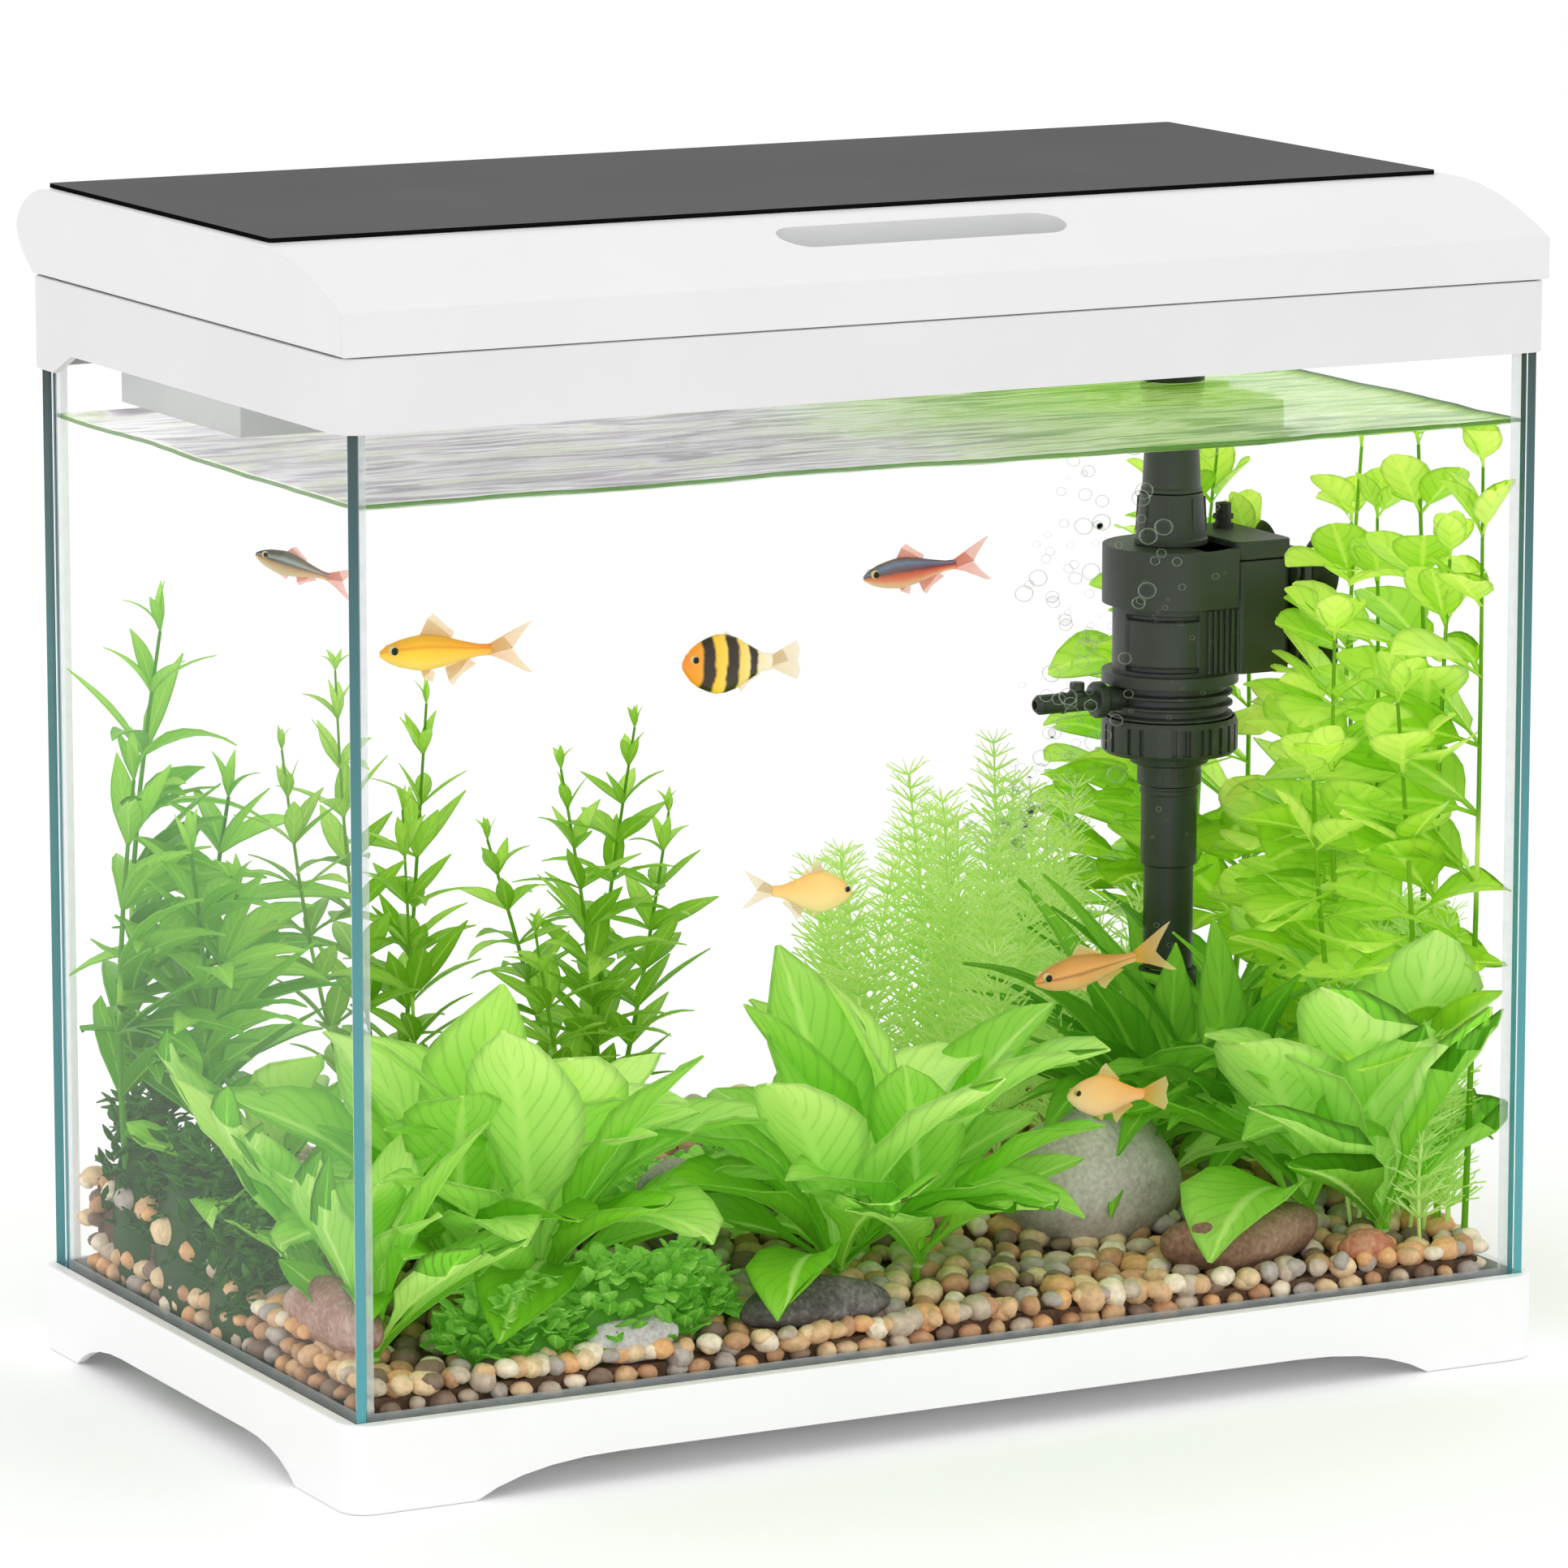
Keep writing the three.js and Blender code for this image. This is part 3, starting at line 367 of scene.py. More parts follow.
def paneMaterial(name, axis):
    # float glass: almost nothing on its face; on the cut edge its own teal with painted light, brightest at
    # the foot and darkening to near black at the top
    material = startBare(name)
    normal = addNode(material, "TexCoord").outputs["Normal"]
    across = addNode(material, "SeparateXYZ", {"Vector": normal}).outputs[axis]
    size = addNode(material, "Math", {0: across}, operation="ABSOLUTE")
    broad = addNode(material, "Math", {0: size, 1: 0.5}, operation="GREATER_THAN")
    height = addNode(material, "SeparateXYZ", {"Vector": onSurface(material)}).outputs["Z"]
    # painted light along the cut edge: bright teal low down, darker higher up
    level = addNode(material, "MapRange", {"Value": height, "From Min": 0.02, "From Max": 0.32})
    tint = addNode(material, "ValToRGB", {"Fac": level},
                   [(0.0, "#4fa3ab"), (0.45, "#4b9398"), (0.8, "#3c6a6c"), (1.0, "#2f4343")])
    cut = addNode(material, "BsdfPrincipled", {"Base Color": tint, "Roughness": 0.12, "IOR": 1.52})
    clear = addNode(material, "BsdfTransparent", {"Color": "#ffffff"})
    shine = addNode(material, "BsdfGlossy", {"Color": "#ffffff", "Roughness": 0.02})
    facing = addNode(material, "LayerWeight", {"Blend": 0.5}).outputs["Facing"]
    slant = addNode(material, "Math", {0: facing, 1: 4.0}, operation="POWER")
    bounce = addNode(material, "MapRange", {"Value": slant, "To Min": 0.0, "To Max": 0.3})
    face = addNode(material, "MixShader", {0: bounce, 1: clear, 2: shine})
    both = addNode(material, "MixShader", {0: broad, 1: cut, 2: face})
    addNode(material, "OutputMaterial", {"Surface": both})
    return material


def siliconeMaterial():
    # acetic silicone bead: milky, soft, half see-through
    material, shader = startMaterial("siliconeBead", {"Roughness": 0.28, "IOR": 1.41, "Alpha": 0.35})
    mottle(material, shader, 5, [(0.3, "#d9e2e0"), (0.7, "#eef3f2")])
    roughen(material, shader, 3, 0.1)
    return material


def waterMaterial():
    # still water from above: painted reflection of pale grey-lilac sky streaks, turning to painted green where
    # the plants lie below
    material, shader = startMaterial("tankWater", {"Roughness": 0.08, "IOR": 1.33, "Alpha": 0.86})
    place = onSurface(material)
    parts = addNode(material, "SeparateXYZ", {"Vector": place})
    stretched = addNode(material, "Mapping",
                        {"Vector": place, "Scale": (14.0, 95.0, 1.0), "Rotation": (0, 0, 0.12)})
    streak = addNode(material, "TexNoise",
                     {"Vector": stretched, "Scale": 1.0, "Detail": 5.0, "Distortion": 1.6})
    sky = addNode(material, "ValToRGB", {"Fac": streak}, [
        (0.34, "#8f8a90"), (0.45, "#b8b3ba"), (0.54, "#e6e4e8"), (0.62, "#c3cfa4"), (0.72, "#efeef2")])
    paintedPlantsBelow = addNode(material, "ValToRGB", {"Fac": streak}, [
        (0.34, "#5a8a22"), (0.46, "#86b836"), (0.54, "#c6de94"), (0.62, "#8abb2c"), (0.72, "#d6e8a8")])
    patch = addNode(material, "TexNoise", {"Vector": place, "Scale": 9.0, "Detail": 2.0})
    wander = addNode(material, "Math", {0: patch, 1: 0.28}, operation="MULTIPLY")
    drift = addNode(material, "Math", {0: parts.outputs["X"], 1: wander}, operation="ADD")
    side = addNode(material, "MapRange", {"Value": drift, "From Min": 0.1, "From Max": 0.3})
    both = addNode(material, "Mix", {"Factor": side, "A": sky, "B": paintedPlantsBelow}, data_type="RGBA")
    # painted reflection: the bright and dark green line where the water climbs the glass
    width = addNode(material, "Math", {0: parts.outputs["X"]}, operation="ABSOLUTE")
    fromSide = addNode(material, "Math", {0: 196.8 * mm, 1: width}, operation="SUBTRACT")
    fromFront = addNode(material, "Math", {0: parts.outputs["Y"], 1: (3.2 - backShift) * mm},
                        operation="SUBTRACT")
    nearest = addNode(material, "Math", {0: fromSide, 1: fromFront}, operation="MINIMUM")
    rim = addNode(material, "MapRange", {"Value": nearest, "From Min": 0.8 * mm, "From Max": 6 * mm,
                                         "To Min": 1.0, "To Max": 0.0})
    paintedRimReflection = addNode(material, "ValToRGB", {"Fac": rim},
                      [(0.0, "#c8e07a"), (0.6, "#9dc63a"), (0.95, "#3f6d1d")])
    edge = addNode(material, "Mix", {"Factor": rim, "A": both, "B": paintedRimReflection}, data_type="RGBA")
    # painted glow: the water gives out light of its own colour
    colourAndGlow(material, shader, edge, 0.5)  # the lamp in the lid fills it with light
    return material


def bubbleMaterial():
    # an air bubble in water: clear in the middle, a painted reflection as a silvery grey ring
    material = startBare("airBubble")
    facing = addNode(material, "LayerWeight", {"Blend": 0.5}).outputs["Facing"]
    ring = addNode(material, "ValToRGB", {"Fac": facing},
                   [(0.3, "#080808"), (0.6, "#5c5c5c"), (0.8, "#dcdcdc"), (1.0, "#909090")])
    clear = addNode(material, "BsdfTransparent", {"Color": "#ffffff"})
    paintedRingReflection = addNode(material, "BsdfPrincipled", {"Base Color": "#c4c8cc", "Roughness": 0.12, "IOR": 1.33})
    both = addNode(material, "MixShader", {0: ring, 1: clear, 2: paintedRingReflection})
    addNode(material, "OutputMaterial", {"Surface": both})
    return material


def leafMaterial(name, deep, middle, bright, veins=9.0):
    # living water-plant leaf: thin waxy blade, light glowing through and a painted glow, painted light and
    # shade from where the blade stands, paler midrib, sunk side veins
    material, shader = startMaterial(name, {"Roughness": 0.36, "IOR": 1.45, "Specular IOR Level": 0.35})
    place = addNode(material, "SeparateXYZ", {"Vector": addNode(material, "TexCoord").outputs["UV"]})
    aside = addNode(material, "Math", {0: place.outputs["X"], 1: 0.5}, operation="SUBTRACT")
    fromRib = addNode(material, "Math", {0: aside}, operation="ABSOLUTE")
    toneAndPaintedLight = addNode(material, "Attribute", attribute_name="toneAndPaintedLight").outputs["Fac"]
    cloud = addNode(material, "TexNoise", {"Vector": onSurface(material), "Scale": 28.0, "Detail": 3.0})
    # how bright the blade is: its tone with painted light from how high it stands, then lighter towards its
    # tip, then a drifting patch
    amount = addNode(material, "Math", {0: toneAndPaintedLight, 1: 0.62}, operation="MULTIPLY")
    for source, weight in ((place.outputs["Y"], 0.26), (cloud, 0.22)):
        share = addNode(material, "Math", {0: source, 1: weight}, operation="MULTIPLY")
        amount = addNode(material, "Math", {0: amount, 1: share}, operation="ADD")
    blade = addNode(material, "ValToRGB", {"Fac": amount}, [(0.12, deep), (0.5, middle), (0.92, bright)])
    rows = addNode(material, "Math", {0: place.outputs["Y"], 1: veins}, operation="MULTIPLY")
    lean = addNode(material, "Math", {0: fromRib, 1: veins * 0.55}, operation="MULTIPLY")
    swing = addNode(material, "Math", {0: rows, 1: lean}, operation="SUBTRACT")
    phase = addNode(material, "Math", {0: swing, 1: 2 * math.pi}, operation="MULTIPLY")
    wave = addNode(material, "Math", {0: phase}, operation="SINE")
    vein = addNode(material, "MapRange", {"Value": wave, "From Min": 0.55, "From Max": 1.0, "To Max": 0.16})
    rib = addNode(material, "MapRange", {"Value": fromRib, "From Min": 0.02, "From Max": 0.07,
                                         "To Min": 0.65, "To Max": 0.0})
    edge = addNode(material, "MapRange", {"Value": fromRib, "From Min": 0.4, "From Max": 0.5, "To Max": 0.35})
    colour = blade
    for mask, tint in ((vein, deep), (rib, bright), (edge, deep)):
        colour = addNode(material, "Mix", {"Factor": mask, "A": colour, "B": tint}, data_type="RGBA")
    height = addNode(material, "Math", {0: rib, 1: vein}, operation="SUBTRACT")
    bump = addNode(material, "Bump", {"Strength": 0.35, "Distance": 0.4 * mm, "Height": height})
    connect(material, bump, shader.inputs["Normal"])
    # painted glow: the blade gives out a little light of its own colour
    colourAndGlow(material, shader, colour, 0.2)  # lamp light caught inside the blade
    glow = addNode(material, "BsdfTranslucent", {"Color": colour})
    mix = addNode(material, "MixShader", {0: 0.46, 1: shader, 2: glow})
    connect(material, mix, material.node_tree.nodes["Material Output"].inputs["Surface"])
    return material


broadLeaf = leafMaterial("swordPlantLeaf", "#3f900c", "#98dc3a", "#e4fca0", 12.0)
lanceLeaf = leafMaterial("lancePlantLeaf", "#4a9a1c", "#84cc34", "#c2ee6a", 7.0)
stemLeaf = leafMaterial("stemPlantLeaf", "#64a21e", "#9ed03c", "#d3f27c", 4.0)
roundLeaf = leafMaterial("pennyPlantLeaf", "#68a814", "#bce83e", "#f2ff90", 5.0)
featherLeaf = leafMaterial("featherPlantLeaf", "#b2da6c", "#d6f096", "#f6ffc8", 2.0)
mossLeaf = leafMaterial("mossLeaf", "#1b560e", "#377f1c", "#62a834", 3.0)
carpetLeaf = leafMaterial("carpetLeaf", "#4f9a24", "#86cf48", "#c4f084", 3.0)
grassLeaf = leafMaterial("ribbonPlantLeaf", "#327c14", "#6cb828", "#b4e85c", 6.0)


def stoneMaterial(name, stops, grain):
    # river-worn stone: mottled minerals, fine pits, matt
    material, shader = startMaterial(name, {"IOR": 1.5, "Specular IOR Level": 0.3})
    place = onSurface(material)
    cloud = addNode(material, "TexNoise",
                    {"Vector": place, "Scale": 1000 / 26, "Detail": 6.0, "Roughness": 0.65})
    speck = addNode(material, "TexNoise", {"Vector": place, "Scale": 1000 / grain, "Detail": 3.0})
    patches = addNode(material, "Math", {0: cloud, 1: 0.62}, operation="MULTIPLY")
    specks = addNode(material, "Math", {0: speck, 1: 0.38}, operation="MULTIPLY")
    amount = addNode(material, "Math", {0: patches, 1: specks}, operation="ADD")
    connect(material, addNode(material, "ValToRGB", {"Fac": amount}, stops), shader.inputs["Base Color"])
    wearShine(material, shader, 6, 0.7, 0.9)
    bump = addNode(material, "Bump", {"Strength": 0.5, "Distance": 0.5 * mm, "Height": amount})
    connect(material, bump, shader.inputs["Normal"])
    return material


def pebbleMaterial():
    # washed river gravel: each pebble its own tan, rust, cream or grey, a little damp shine
    material, shader = startMaterial("riverPebbles", {"IOR": 1.5, "Specular IOR Level": 0.4})
    toneAndPaintedLight = addNode(material, "Attribute", attribute_name="toneAndPaintedLight").outputs["Fac"]
    own = addNode(material, "ValToRGB", {"Fac": toneAndPaintedLight}, [
        (0.0, "#8d7664"), (0.12, "#c89a72"), (0.28, "#e2ba8c"), (0.44, "#efd2a6"), (0.56, "#cdbba4"),
        (0.68, "#f7e8cd"), (0.8, "#b9aea4"), (0.9, "#eab47c"), (1.0, "#fff6e6")])
    own.color_ramp.interpolation = "CONSTANT"
    speck = addNode(material, "TexNoise",
                    {"Vector": onSurface(material), "Scale": 1000 / 2.4, "Detail": 4.0})
    shade = addNode(material, "MapRange", {"Value": speck, "From Min": 0.25, "From Max": 0.75,
                                           "To Min": 0.76, "To Max": 1.24})
    both = addNode(material, "Mix", {"Factor": 1.0, "A": own, "B": shade},
                   data_type="RGBA", blend_type="MULTIPLY")
    connect(material, both, shader.inputs["Base Color"])
    wearShine(material, shader, 4, 0.45, 0.75)
    bump = addNode(material, "Bump", {"Strength": 0.3, "Distance": 0.3 * mm, "Height": speck})
    connect(material, bump, shader.inputs["Normal"])
    return material


print("materials ready")

# camera, floor and light
cameraSettings = {"place": (-1.17664, -2.25297, 0.64615), "turn": 27.6, "dip": 10.392, "lens": 191.16,
                  "sensor": 36, "reach": 60}
bpy.ops.object.camera_add(
    location=cameraSettings["place"],
    rotation=(math.radians(90 - cameraSettings["dip"]), 0, math.radians(-cameraSettings["turn"])))
camera = bpy.context.object
camera.data.lens = cameraSettings["lens"]
camera.data.sensor_width = cameraSettings["sensor"]
camera.data.clip_end = cameraSettings["reach"]
bpy.context.scene.camera = camera

studio = {"floorSize": 30, "floorGlow": 0.07, "sky": 0.97, "top": 5, "front": 4}
bpy.ops.mesh.primitive_plane_add(size=studio["floorSize"])
floor = bpy.context.object
floor.name = "studioFloor"
floorPaint, floorShader = startMaterial(
    "paleStudioFloor", {"Base Color": "#fbfbfb", "Roughness": 0.9, "Emission Color": "#ffffff",
                        "Emission Strength": studio["floorGlow"]})
roughen(floorPaint, floorShader, 12, 0.02)
paint(floor, floorPaint)

bpy.context.scene.view_settings.view_transform = "Standard"
world = bpy.data.worlds.new("studioSky")
bpy.context.scene.world = world
world.use_nodes = True
sky = world.node_tree.nodes["Background"]
sky.inputs["Color"].default_value = (1, 1, 1, 1)
sky.inputs["Strength"].default_value = studio["sky"]
for name, place, turn, size, power in (
        ("topSoftbox", (-0.3, -0.2, 2.0), (0, 0, 0), 2.4, studio["top"]),
        ("frontSoftbox", (-1.4, -2.2, 1.2), (64, 0, -32), 1.6, studio["front"])):
    bpy.ops.object.light_add(type="AREA", location=place, rotation=[math.radians(a) for a in turn])
    lamp = bpy.context.object
    lamp.name = name
    lamp.data.size = size
    lamp.data.energy = power
print("camera, floor and light ready")

# housing
for nodeName, body, material, width in (
        ("base_frame", "tank", baseAbsLitCopy, 0.5), ("top_frame", "tank", frameAbsShadedCopy, 0.45),
        ("lid_shell", "lid", lidAbsShadedCopy, 0.4), ("led_housing", "lid", trayAbs, 0.5),
        ("filter_tray", "tank", trayAbs, 0.5), ("lid_panel", "lid", smokedPanel, 0.12)):
    shell = cleanCopy(nodeName)
    roundEdges(shell, width)
    smoothBy(shell)
    finishWith(shell, "WEIGHTED_NORMAL", weight=100, keep_sharp=True)  # big faces stay flat
    paint(shell, material)
    put(shell, nodeName + "_shell", body, [nodeName])
print("housing ready")

for nodeName, axis in (("glass_front", "Y"), ("glass_back", "Y"), ("glass_left", "X"), ("glass_right", "X"),
                       ("glass_bottom", "Z")):
    paint(nodes[nodeName], paneMaterial(nodeName + "Float", axis))
paint(nodes["silicone_seal"], siliconeMaterial())


# grip recess in the lid: a grey liner with a soft lip, painted shade that darkens the recess
gripSettings = {"length": 95.2, "width": 16.2, "y": 26, "floor": 353.65, "tall": 3.4, "wall": 0.35}


def gripShadeLiner(s):
    bpy.ops.object.select_all(action="DESELECT")
    bpy.ops.mesh.primitive_circle_add(vertices=48, radius=s["width"] / 2 * mm, fill_type="NGON",
                                      location=at(0, s["y"], s["floor"]))
    liner = bpy.context.object
    editAll()
    reach = (s["length"] - s["width"]) / 2 * mm
    for side in (-1, 1):
        choose(liner, lambda v: v.co.x * side > 1e-6)
        bpy.ops.transform.translate(value=(side * reach, 0, 0))
    bpy.ops.mesh.select_all(action="SELECT")
    bpy.ops.mesh.extrude_region_move(TRANSFORM_OT_translate={"value": (0, 0, s["tall"] * mm)})
    bpy.ops.mesh.delete(type="ONLY_FACE")
    bpy.ops.mesh.select_all(action="SELECT")
    bpy.ops.mesh.normals_make_consistent(inside=True)
    leaveEdit()
    applyPlace(liner)
    finishWith(liner, "SOLIDIFY", thickness=s["wall"] * mm, offset=1)
    smoothBy(liner)
    paint(liner, gripShadeGrey)
    put(liner, "lid_grip_shade_liner", "lid", slotName="lid_shell")


gripShadeLiner(gripSettings)
print("lid grip ready")

# gravel
gravelSettings = {"front": 34, "rise": 26, "spacing": 9.2, "rows": 0.86, "small": 3.6, "large": 6.0, "seed": 4,
                  "half": 191, "paneHalf": 193, "paneFoot": 28, "paneRow": 6.8, "paneGap": 8.4,
                  "fines": (380, 205)}


def gravelTop(x, y):
    # the height of the gravel in millimetres, sloping up to the back
    swell = 1.4 * math.sin(x * 0.045 + 1) + 1.1 * math.sin(y * 0.07 + x * 0.021)
    return gravelSettings["front"] + gravelSettings["rise"] * y / 222 + swell * min(1, y / 40)


def makePebbles(count, draw):
    shapes = []
    for _ in range(count):
        bpy.ops.object.select_all(action="DESELECT")
        bpy.ops.mesh.primitive_uv_sphere_add(segments=8, ring_count=6, radius=1)
        stone = bpy.context.object
        editAll()
        size = draw.uniform(0.95, 1.3), draw.uniform(0.75, 1), draw.uniform(0.6, 0.85)
        bpy.ops.transform.resize(value=size)
        for _ in range(3):  # knocks a few sides off, as on river stones
            lean = Vector((draw.uniform(-1, 1), draw.uniform(-1, 1), draw.uniform(-1, 1))).normalized()
            choose(stone, lambda v: v.co.dot(lean) > 0.62)
            bpy.ops.transform.translate(value=lean * -draw.uniform(0.08, 0.2))
        leaveEdit()
        smoothBy(stone, 80)
        shapes.append(stone)
    return shapes


def buildGravel(s):
    draw = random.Random(s["seed"])
    shapes = makePebbles(7, draw)
    stones = []

    def lay(x, y, z, size):
        turn = Matrix.Rotation(draw.uniform(0, fullTurn), 4, "Z")
        turn = turn @ Matrix.Rotation(draw.uniform(-0.4, 0.4), 4, "X")
        place = Matrix.Translation(at(x, y, z)) @ turn @ Matrix.Scale(size * mm, 4)
        stones.append((draw.choice(shapes), place, draw.random()))

    step, half, paneHalf = s["spacing"], s["half"], s["paneHalf"]
    for row in range(int(206 / (step * s["rows"]))):
        for column in range(int(384 / step) + 1):
            x = -half + column * step + (row % 2) * step / 2 + draw.uniform(-1.6, 1.6)
            y = 10.5 + row * step * s["rows"] + draw.uniform(-1.4, 1.4)
            if abs(x) < half + 1:
                z = gravelTop(x, y) - 1.6 + draw.uniform(-1.2, 1.8)
                lay(x, y, z, draw.uniform(s["small"], s["large"]))
    for row in range(5):
        foot, shift = s["paneFoot"] + row * s["paneRow"], (row % 2) * 4
        for column in range(47):  # against the front and back panes
            x = -paneHalf + column * s["paneGap"] + shift + draw.uniform(-1, 1)
            z = foot + draw.uniform(-0.8, 0.8)
            if z < gravelTop(x, 0) + 6 and abs(x) < paneHalf:
                lay(x, 8.4 + draw.uniform(-0.3, 0.8), z, draw.uniform(3.3, 4.4))
            if z < gravelTop(x, 222) + 1 and abs(x) < paneHalf:
                lay(x, 216.5 + draw.uniform(-0.8, 0.3), z, draw.uniform(3.3, 4.4))
        for column in range(25):  # against the two side panes
            y = 12 + column * s["paneGap"] + shift + draw.uniform(-1, 1)
            z = foot + draw.uniform(-0.8, 0.8)
            for side in (-1, 1):
                mossy = side < 0 and 92 < y < 208 and z > 36
                if z < gravelTop(0, y) + 1 and y < 215 and not mossy:
                    lay(side * (191.4 + draw.uniform(-0.8, 0.3)), y, z, draw.uniform(3.3, 4.4))
    pebbles = gather(stones, "gravel_pebbles")
    throwAway(shapes)
    holdInside(pebbles)
    paint(pebbles, pebbleMaterial())
    put(pebbles, "gravel_pebbles", "tank", ["gravel_bed"])
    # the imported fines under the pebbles
    bpy.ops.object.select_all(action="DESELECT")
    bpy.ops.mesh.primitive_grid_add(x_subdivisions=40, y_subdivisions=24, size=1, location=at(0, midY, 26))
    fines = bpy.context.object
    fines.scale = (s["fines"][0] * mm, s["fines"][1] * mm, 1)
    applyPlace(fines)
    for v in fines.data.vertices:
        y = v.co.y / mm + backShift
        v.co.z = (gravelTop(v.co.x / mm, y) - 4) * mm
    editAll()
    bpy.ops.mesh.extrude_region_move(TRANSFORM_OT_translate={"value": (0, 0, -1 * mm)})
    bpy.ops.transform.resize(value=(1, 1, 0), center_override=at(0, midY, 25.2))
    bpy.ops.mesh.select_all(action="SELECT")
    bpy.ops.mesh.normals_make_consistent(inside=False)
    leaveEdit()
    paint(fines, stoneMaterial("packedFines", [(0.3, "#3f3128"), (0.5, "#6a5340"), (0.7, "#8d7355")], 2))
    put(fines, "gravel_fines", "tank", slotName="gravel_bed")


def holdInside(item):
    # nothing grows or lies through the glass
    for v in item.data.vertices:
        v.co.x = max(-insideX * mm, min(insideX * mm, v.co.x))
        v.co.y = max((insideFront - backShift) * mm, min((insideBack - backShift) * mm, v.co.y))
        v.co.z = min(insideTop * mm, v.co.z)


buildGravel(gravelSettings)
print("gravel ready")

# rocks
rockSettings = {
    "rock_boulder": {
        "lump": 7, "stops": [(0.3, "#8c867c"), (0.45, "#b8b1a6"), (0.58, "#d2ccc2"), (0.72, "#ebe7e0")]},
    "rock_brown": {
        "lump": 4, "stops": [(0.3, "#5a4336"), (0.45, "#86664f"), (0.6, "#a2846b"), (0.75, "#c4ab95")]},
    "rock_orange": {"lump": 2, "stops": [(0.3, "#8a4a30"), (0.5, "#b97555"), (0.7, "#dba98b")]},
    "rock_small_grey": {"lump": 3, "stops": [(0.3, "#77706c"), (0.5, "#a39c98"), (0.7, "#c9c3bf")]},
    "rock_flat_grey": {
        "lump": 3, "stops": [(0.3, "#37332f"), (0.48, "#5f5a56"), (0.62, "#8a8580"), (0.78, "#b5b0aa")]},
    "rock_white": {"lump": 2, "stops": [(0.3, "#97938e"), (0.48, "#c6c3be"), (0.7, "#efedea")]},
    "rock_slab": {"lump": 4, "stops": [(0.3, "#7c5748"), (0.48, "#ac8576"), (0.7, "#d8bfb3")]},
}


def buildRock(nodeName, s):
    stone = copyOf(nodes[nodeName], Matrix.Identity(4))
    pickOnly(stone)
    editAll()
    bpy.ops.mesh.remove_doubles(threshold=weldGap)
    leaveEdit()
    finishWith(stone, "SUBSURF", levels=3, render_levels=3)
    pushWithClouds(stone, nodeName + "Lumps", ((s["lump"] * 4, s["lump"] * 0.8), (5, 0.7)))
    smoothBy(stone, 60)
    holdInside(stone)
    paint(stone, stoneMaterial(nodeName + "Stone", s["stops"], 1.6))
    put(stone, nodeName + "_stone", "tank", [nodeName])


for nodeName, settings in rockSettings.items():
    buildRock(nodeName, settings)
print("rocks ready")

pumpAxis = (151.8, 138)  # the upright line through the pump, in tank millimetres

# plants
bladeProfiles = {
    # width along the blade as a share of its widest, from the stalk to the tip
    "sword": [(0, 0.1), (0.2, 0.12), (0.3, 0.32), (0.42, 0.78), (0.55, 1), (0.7, 0.95), (0.84, 0.66),
              (0.94, 0.3), (1, 0.04)],
    "lance": [(0, 0.14), (0.1, 0.4), (0.3, 0.88), (0.45, 1), (0.65, 0.8), (0.85, 0.38), (1, 0.04)],
    "round": [(0, 0.06), (0.2, 0.08), (0.3, 0.5), (0.42, 0.86), (0.57, 1), (0.73, 0.96), (0.87, 0.7),
              (0.96, 0.36), (1, 0.1)],
    "ribbon": [(0, 0.5), (0.2, 0.8), (0.45, 1), (0.75, 0.7), (1, 0.05)],
    "needle": [(0, 0.7), (0.5, 1), (1, 0.2)],
    "clover": [(0, 0.2), (0.35, 0.9), (0.7, 1), (1, 0.3)],
}


def shareAt(profile, t):
    for (t0, w0), (t1, w1) in zip(profile, profile[1:]):
        if t <= t1:
            return w0 + (w1 - w0) * (t - t0) / (t1 - t0)
    return profile[-1][1]


def makeLeaf(s):
    # one blade along +Y from its foot, one unit long, rising and then arching over
    bpy.ops.object.select_all(action="DESELECT")
    bpy.ops.mesh.primitive_grid_add(x_subdivisions=s["across"], y_subdivisions=s["along"], size=1,
                                    location=(0, 0.5, 0))
    leaf = bpy.context.object
    applyPlace(leaf)
    profile, bend = bladeProfiles[s["profile"]], s["bend"]
    for v in leaf.data.vertices:
        t, side = v.co.y, v.co.x * 2
        half = shareAt(profile, t) * s["width"] / 2
        curl = s["cup"] * half * side * side + s["ripple"] * half * math.sin(t * 19) * side
        angle = bend * t
        reach = math.sin(angle) / bend
        rise = (math.cos(angle) - 1) / bend
        v.co = (half * side, reach + curl * math.sin(angle), rise + curl * math.cos(angle))
    finishWith(leaf, "SOLIDIFY", thickness=s["thick"], offset=0)
    smoothBy(leaf, 60)
    return leaf


def leafSet(profile, width, bends, across, along, cup, thick=0.012, ripple=0.0):
    # one leaf for each bend, each a little wider than the last
    return [makeLeaf({"profile": profile, "width": width * (1 + 0.08 * (i % 3 - 1)), "bend": bend,
                      "across": across, "along": along, "cup": cup, "thick": thick, "ripple": ripple})
            for i, bend in enumerate(bends)]


def leafMatrix(root, yaw, lift, roll, length):
    return (Matrix.Translation(root) @ Matrix.Rotation(yaw, 4, "Z") @ Matrix.Rotation(lift, 4, "X")
            @ Matrix.Rotation(roll, 4, "Y") @ Matrix.Scale(length * mm, 4))


def makeStem(points, thick, thin):
    # a stalk through the points, tapering upwards
    line = bpy.data.curves.new("stalk", "CURVE")
    line.dimensions = "3D"
    spline = line.splines.new("POLY")
    spline.points.add(len(points) - 1)
    for i, point in enumerate(points):
        spline.points[i].co = (*point, 1)
        spline.points[i].radius = 1 - (1 - thin / thick) * i / (len(points) - 1)
    line.bevel_depth = thick * mm
    line.bevel_resolution = 1
    line.use_fill_caps = True
    stalk = bpy.data.objects.new("stalk", line)
    bpy.context.scene.collection.objects.link(stalk)
    pickOnly(stalk)
    bpy.ops.object.convert(target="MESH")
    return bpy.context.view_layer.objects.active


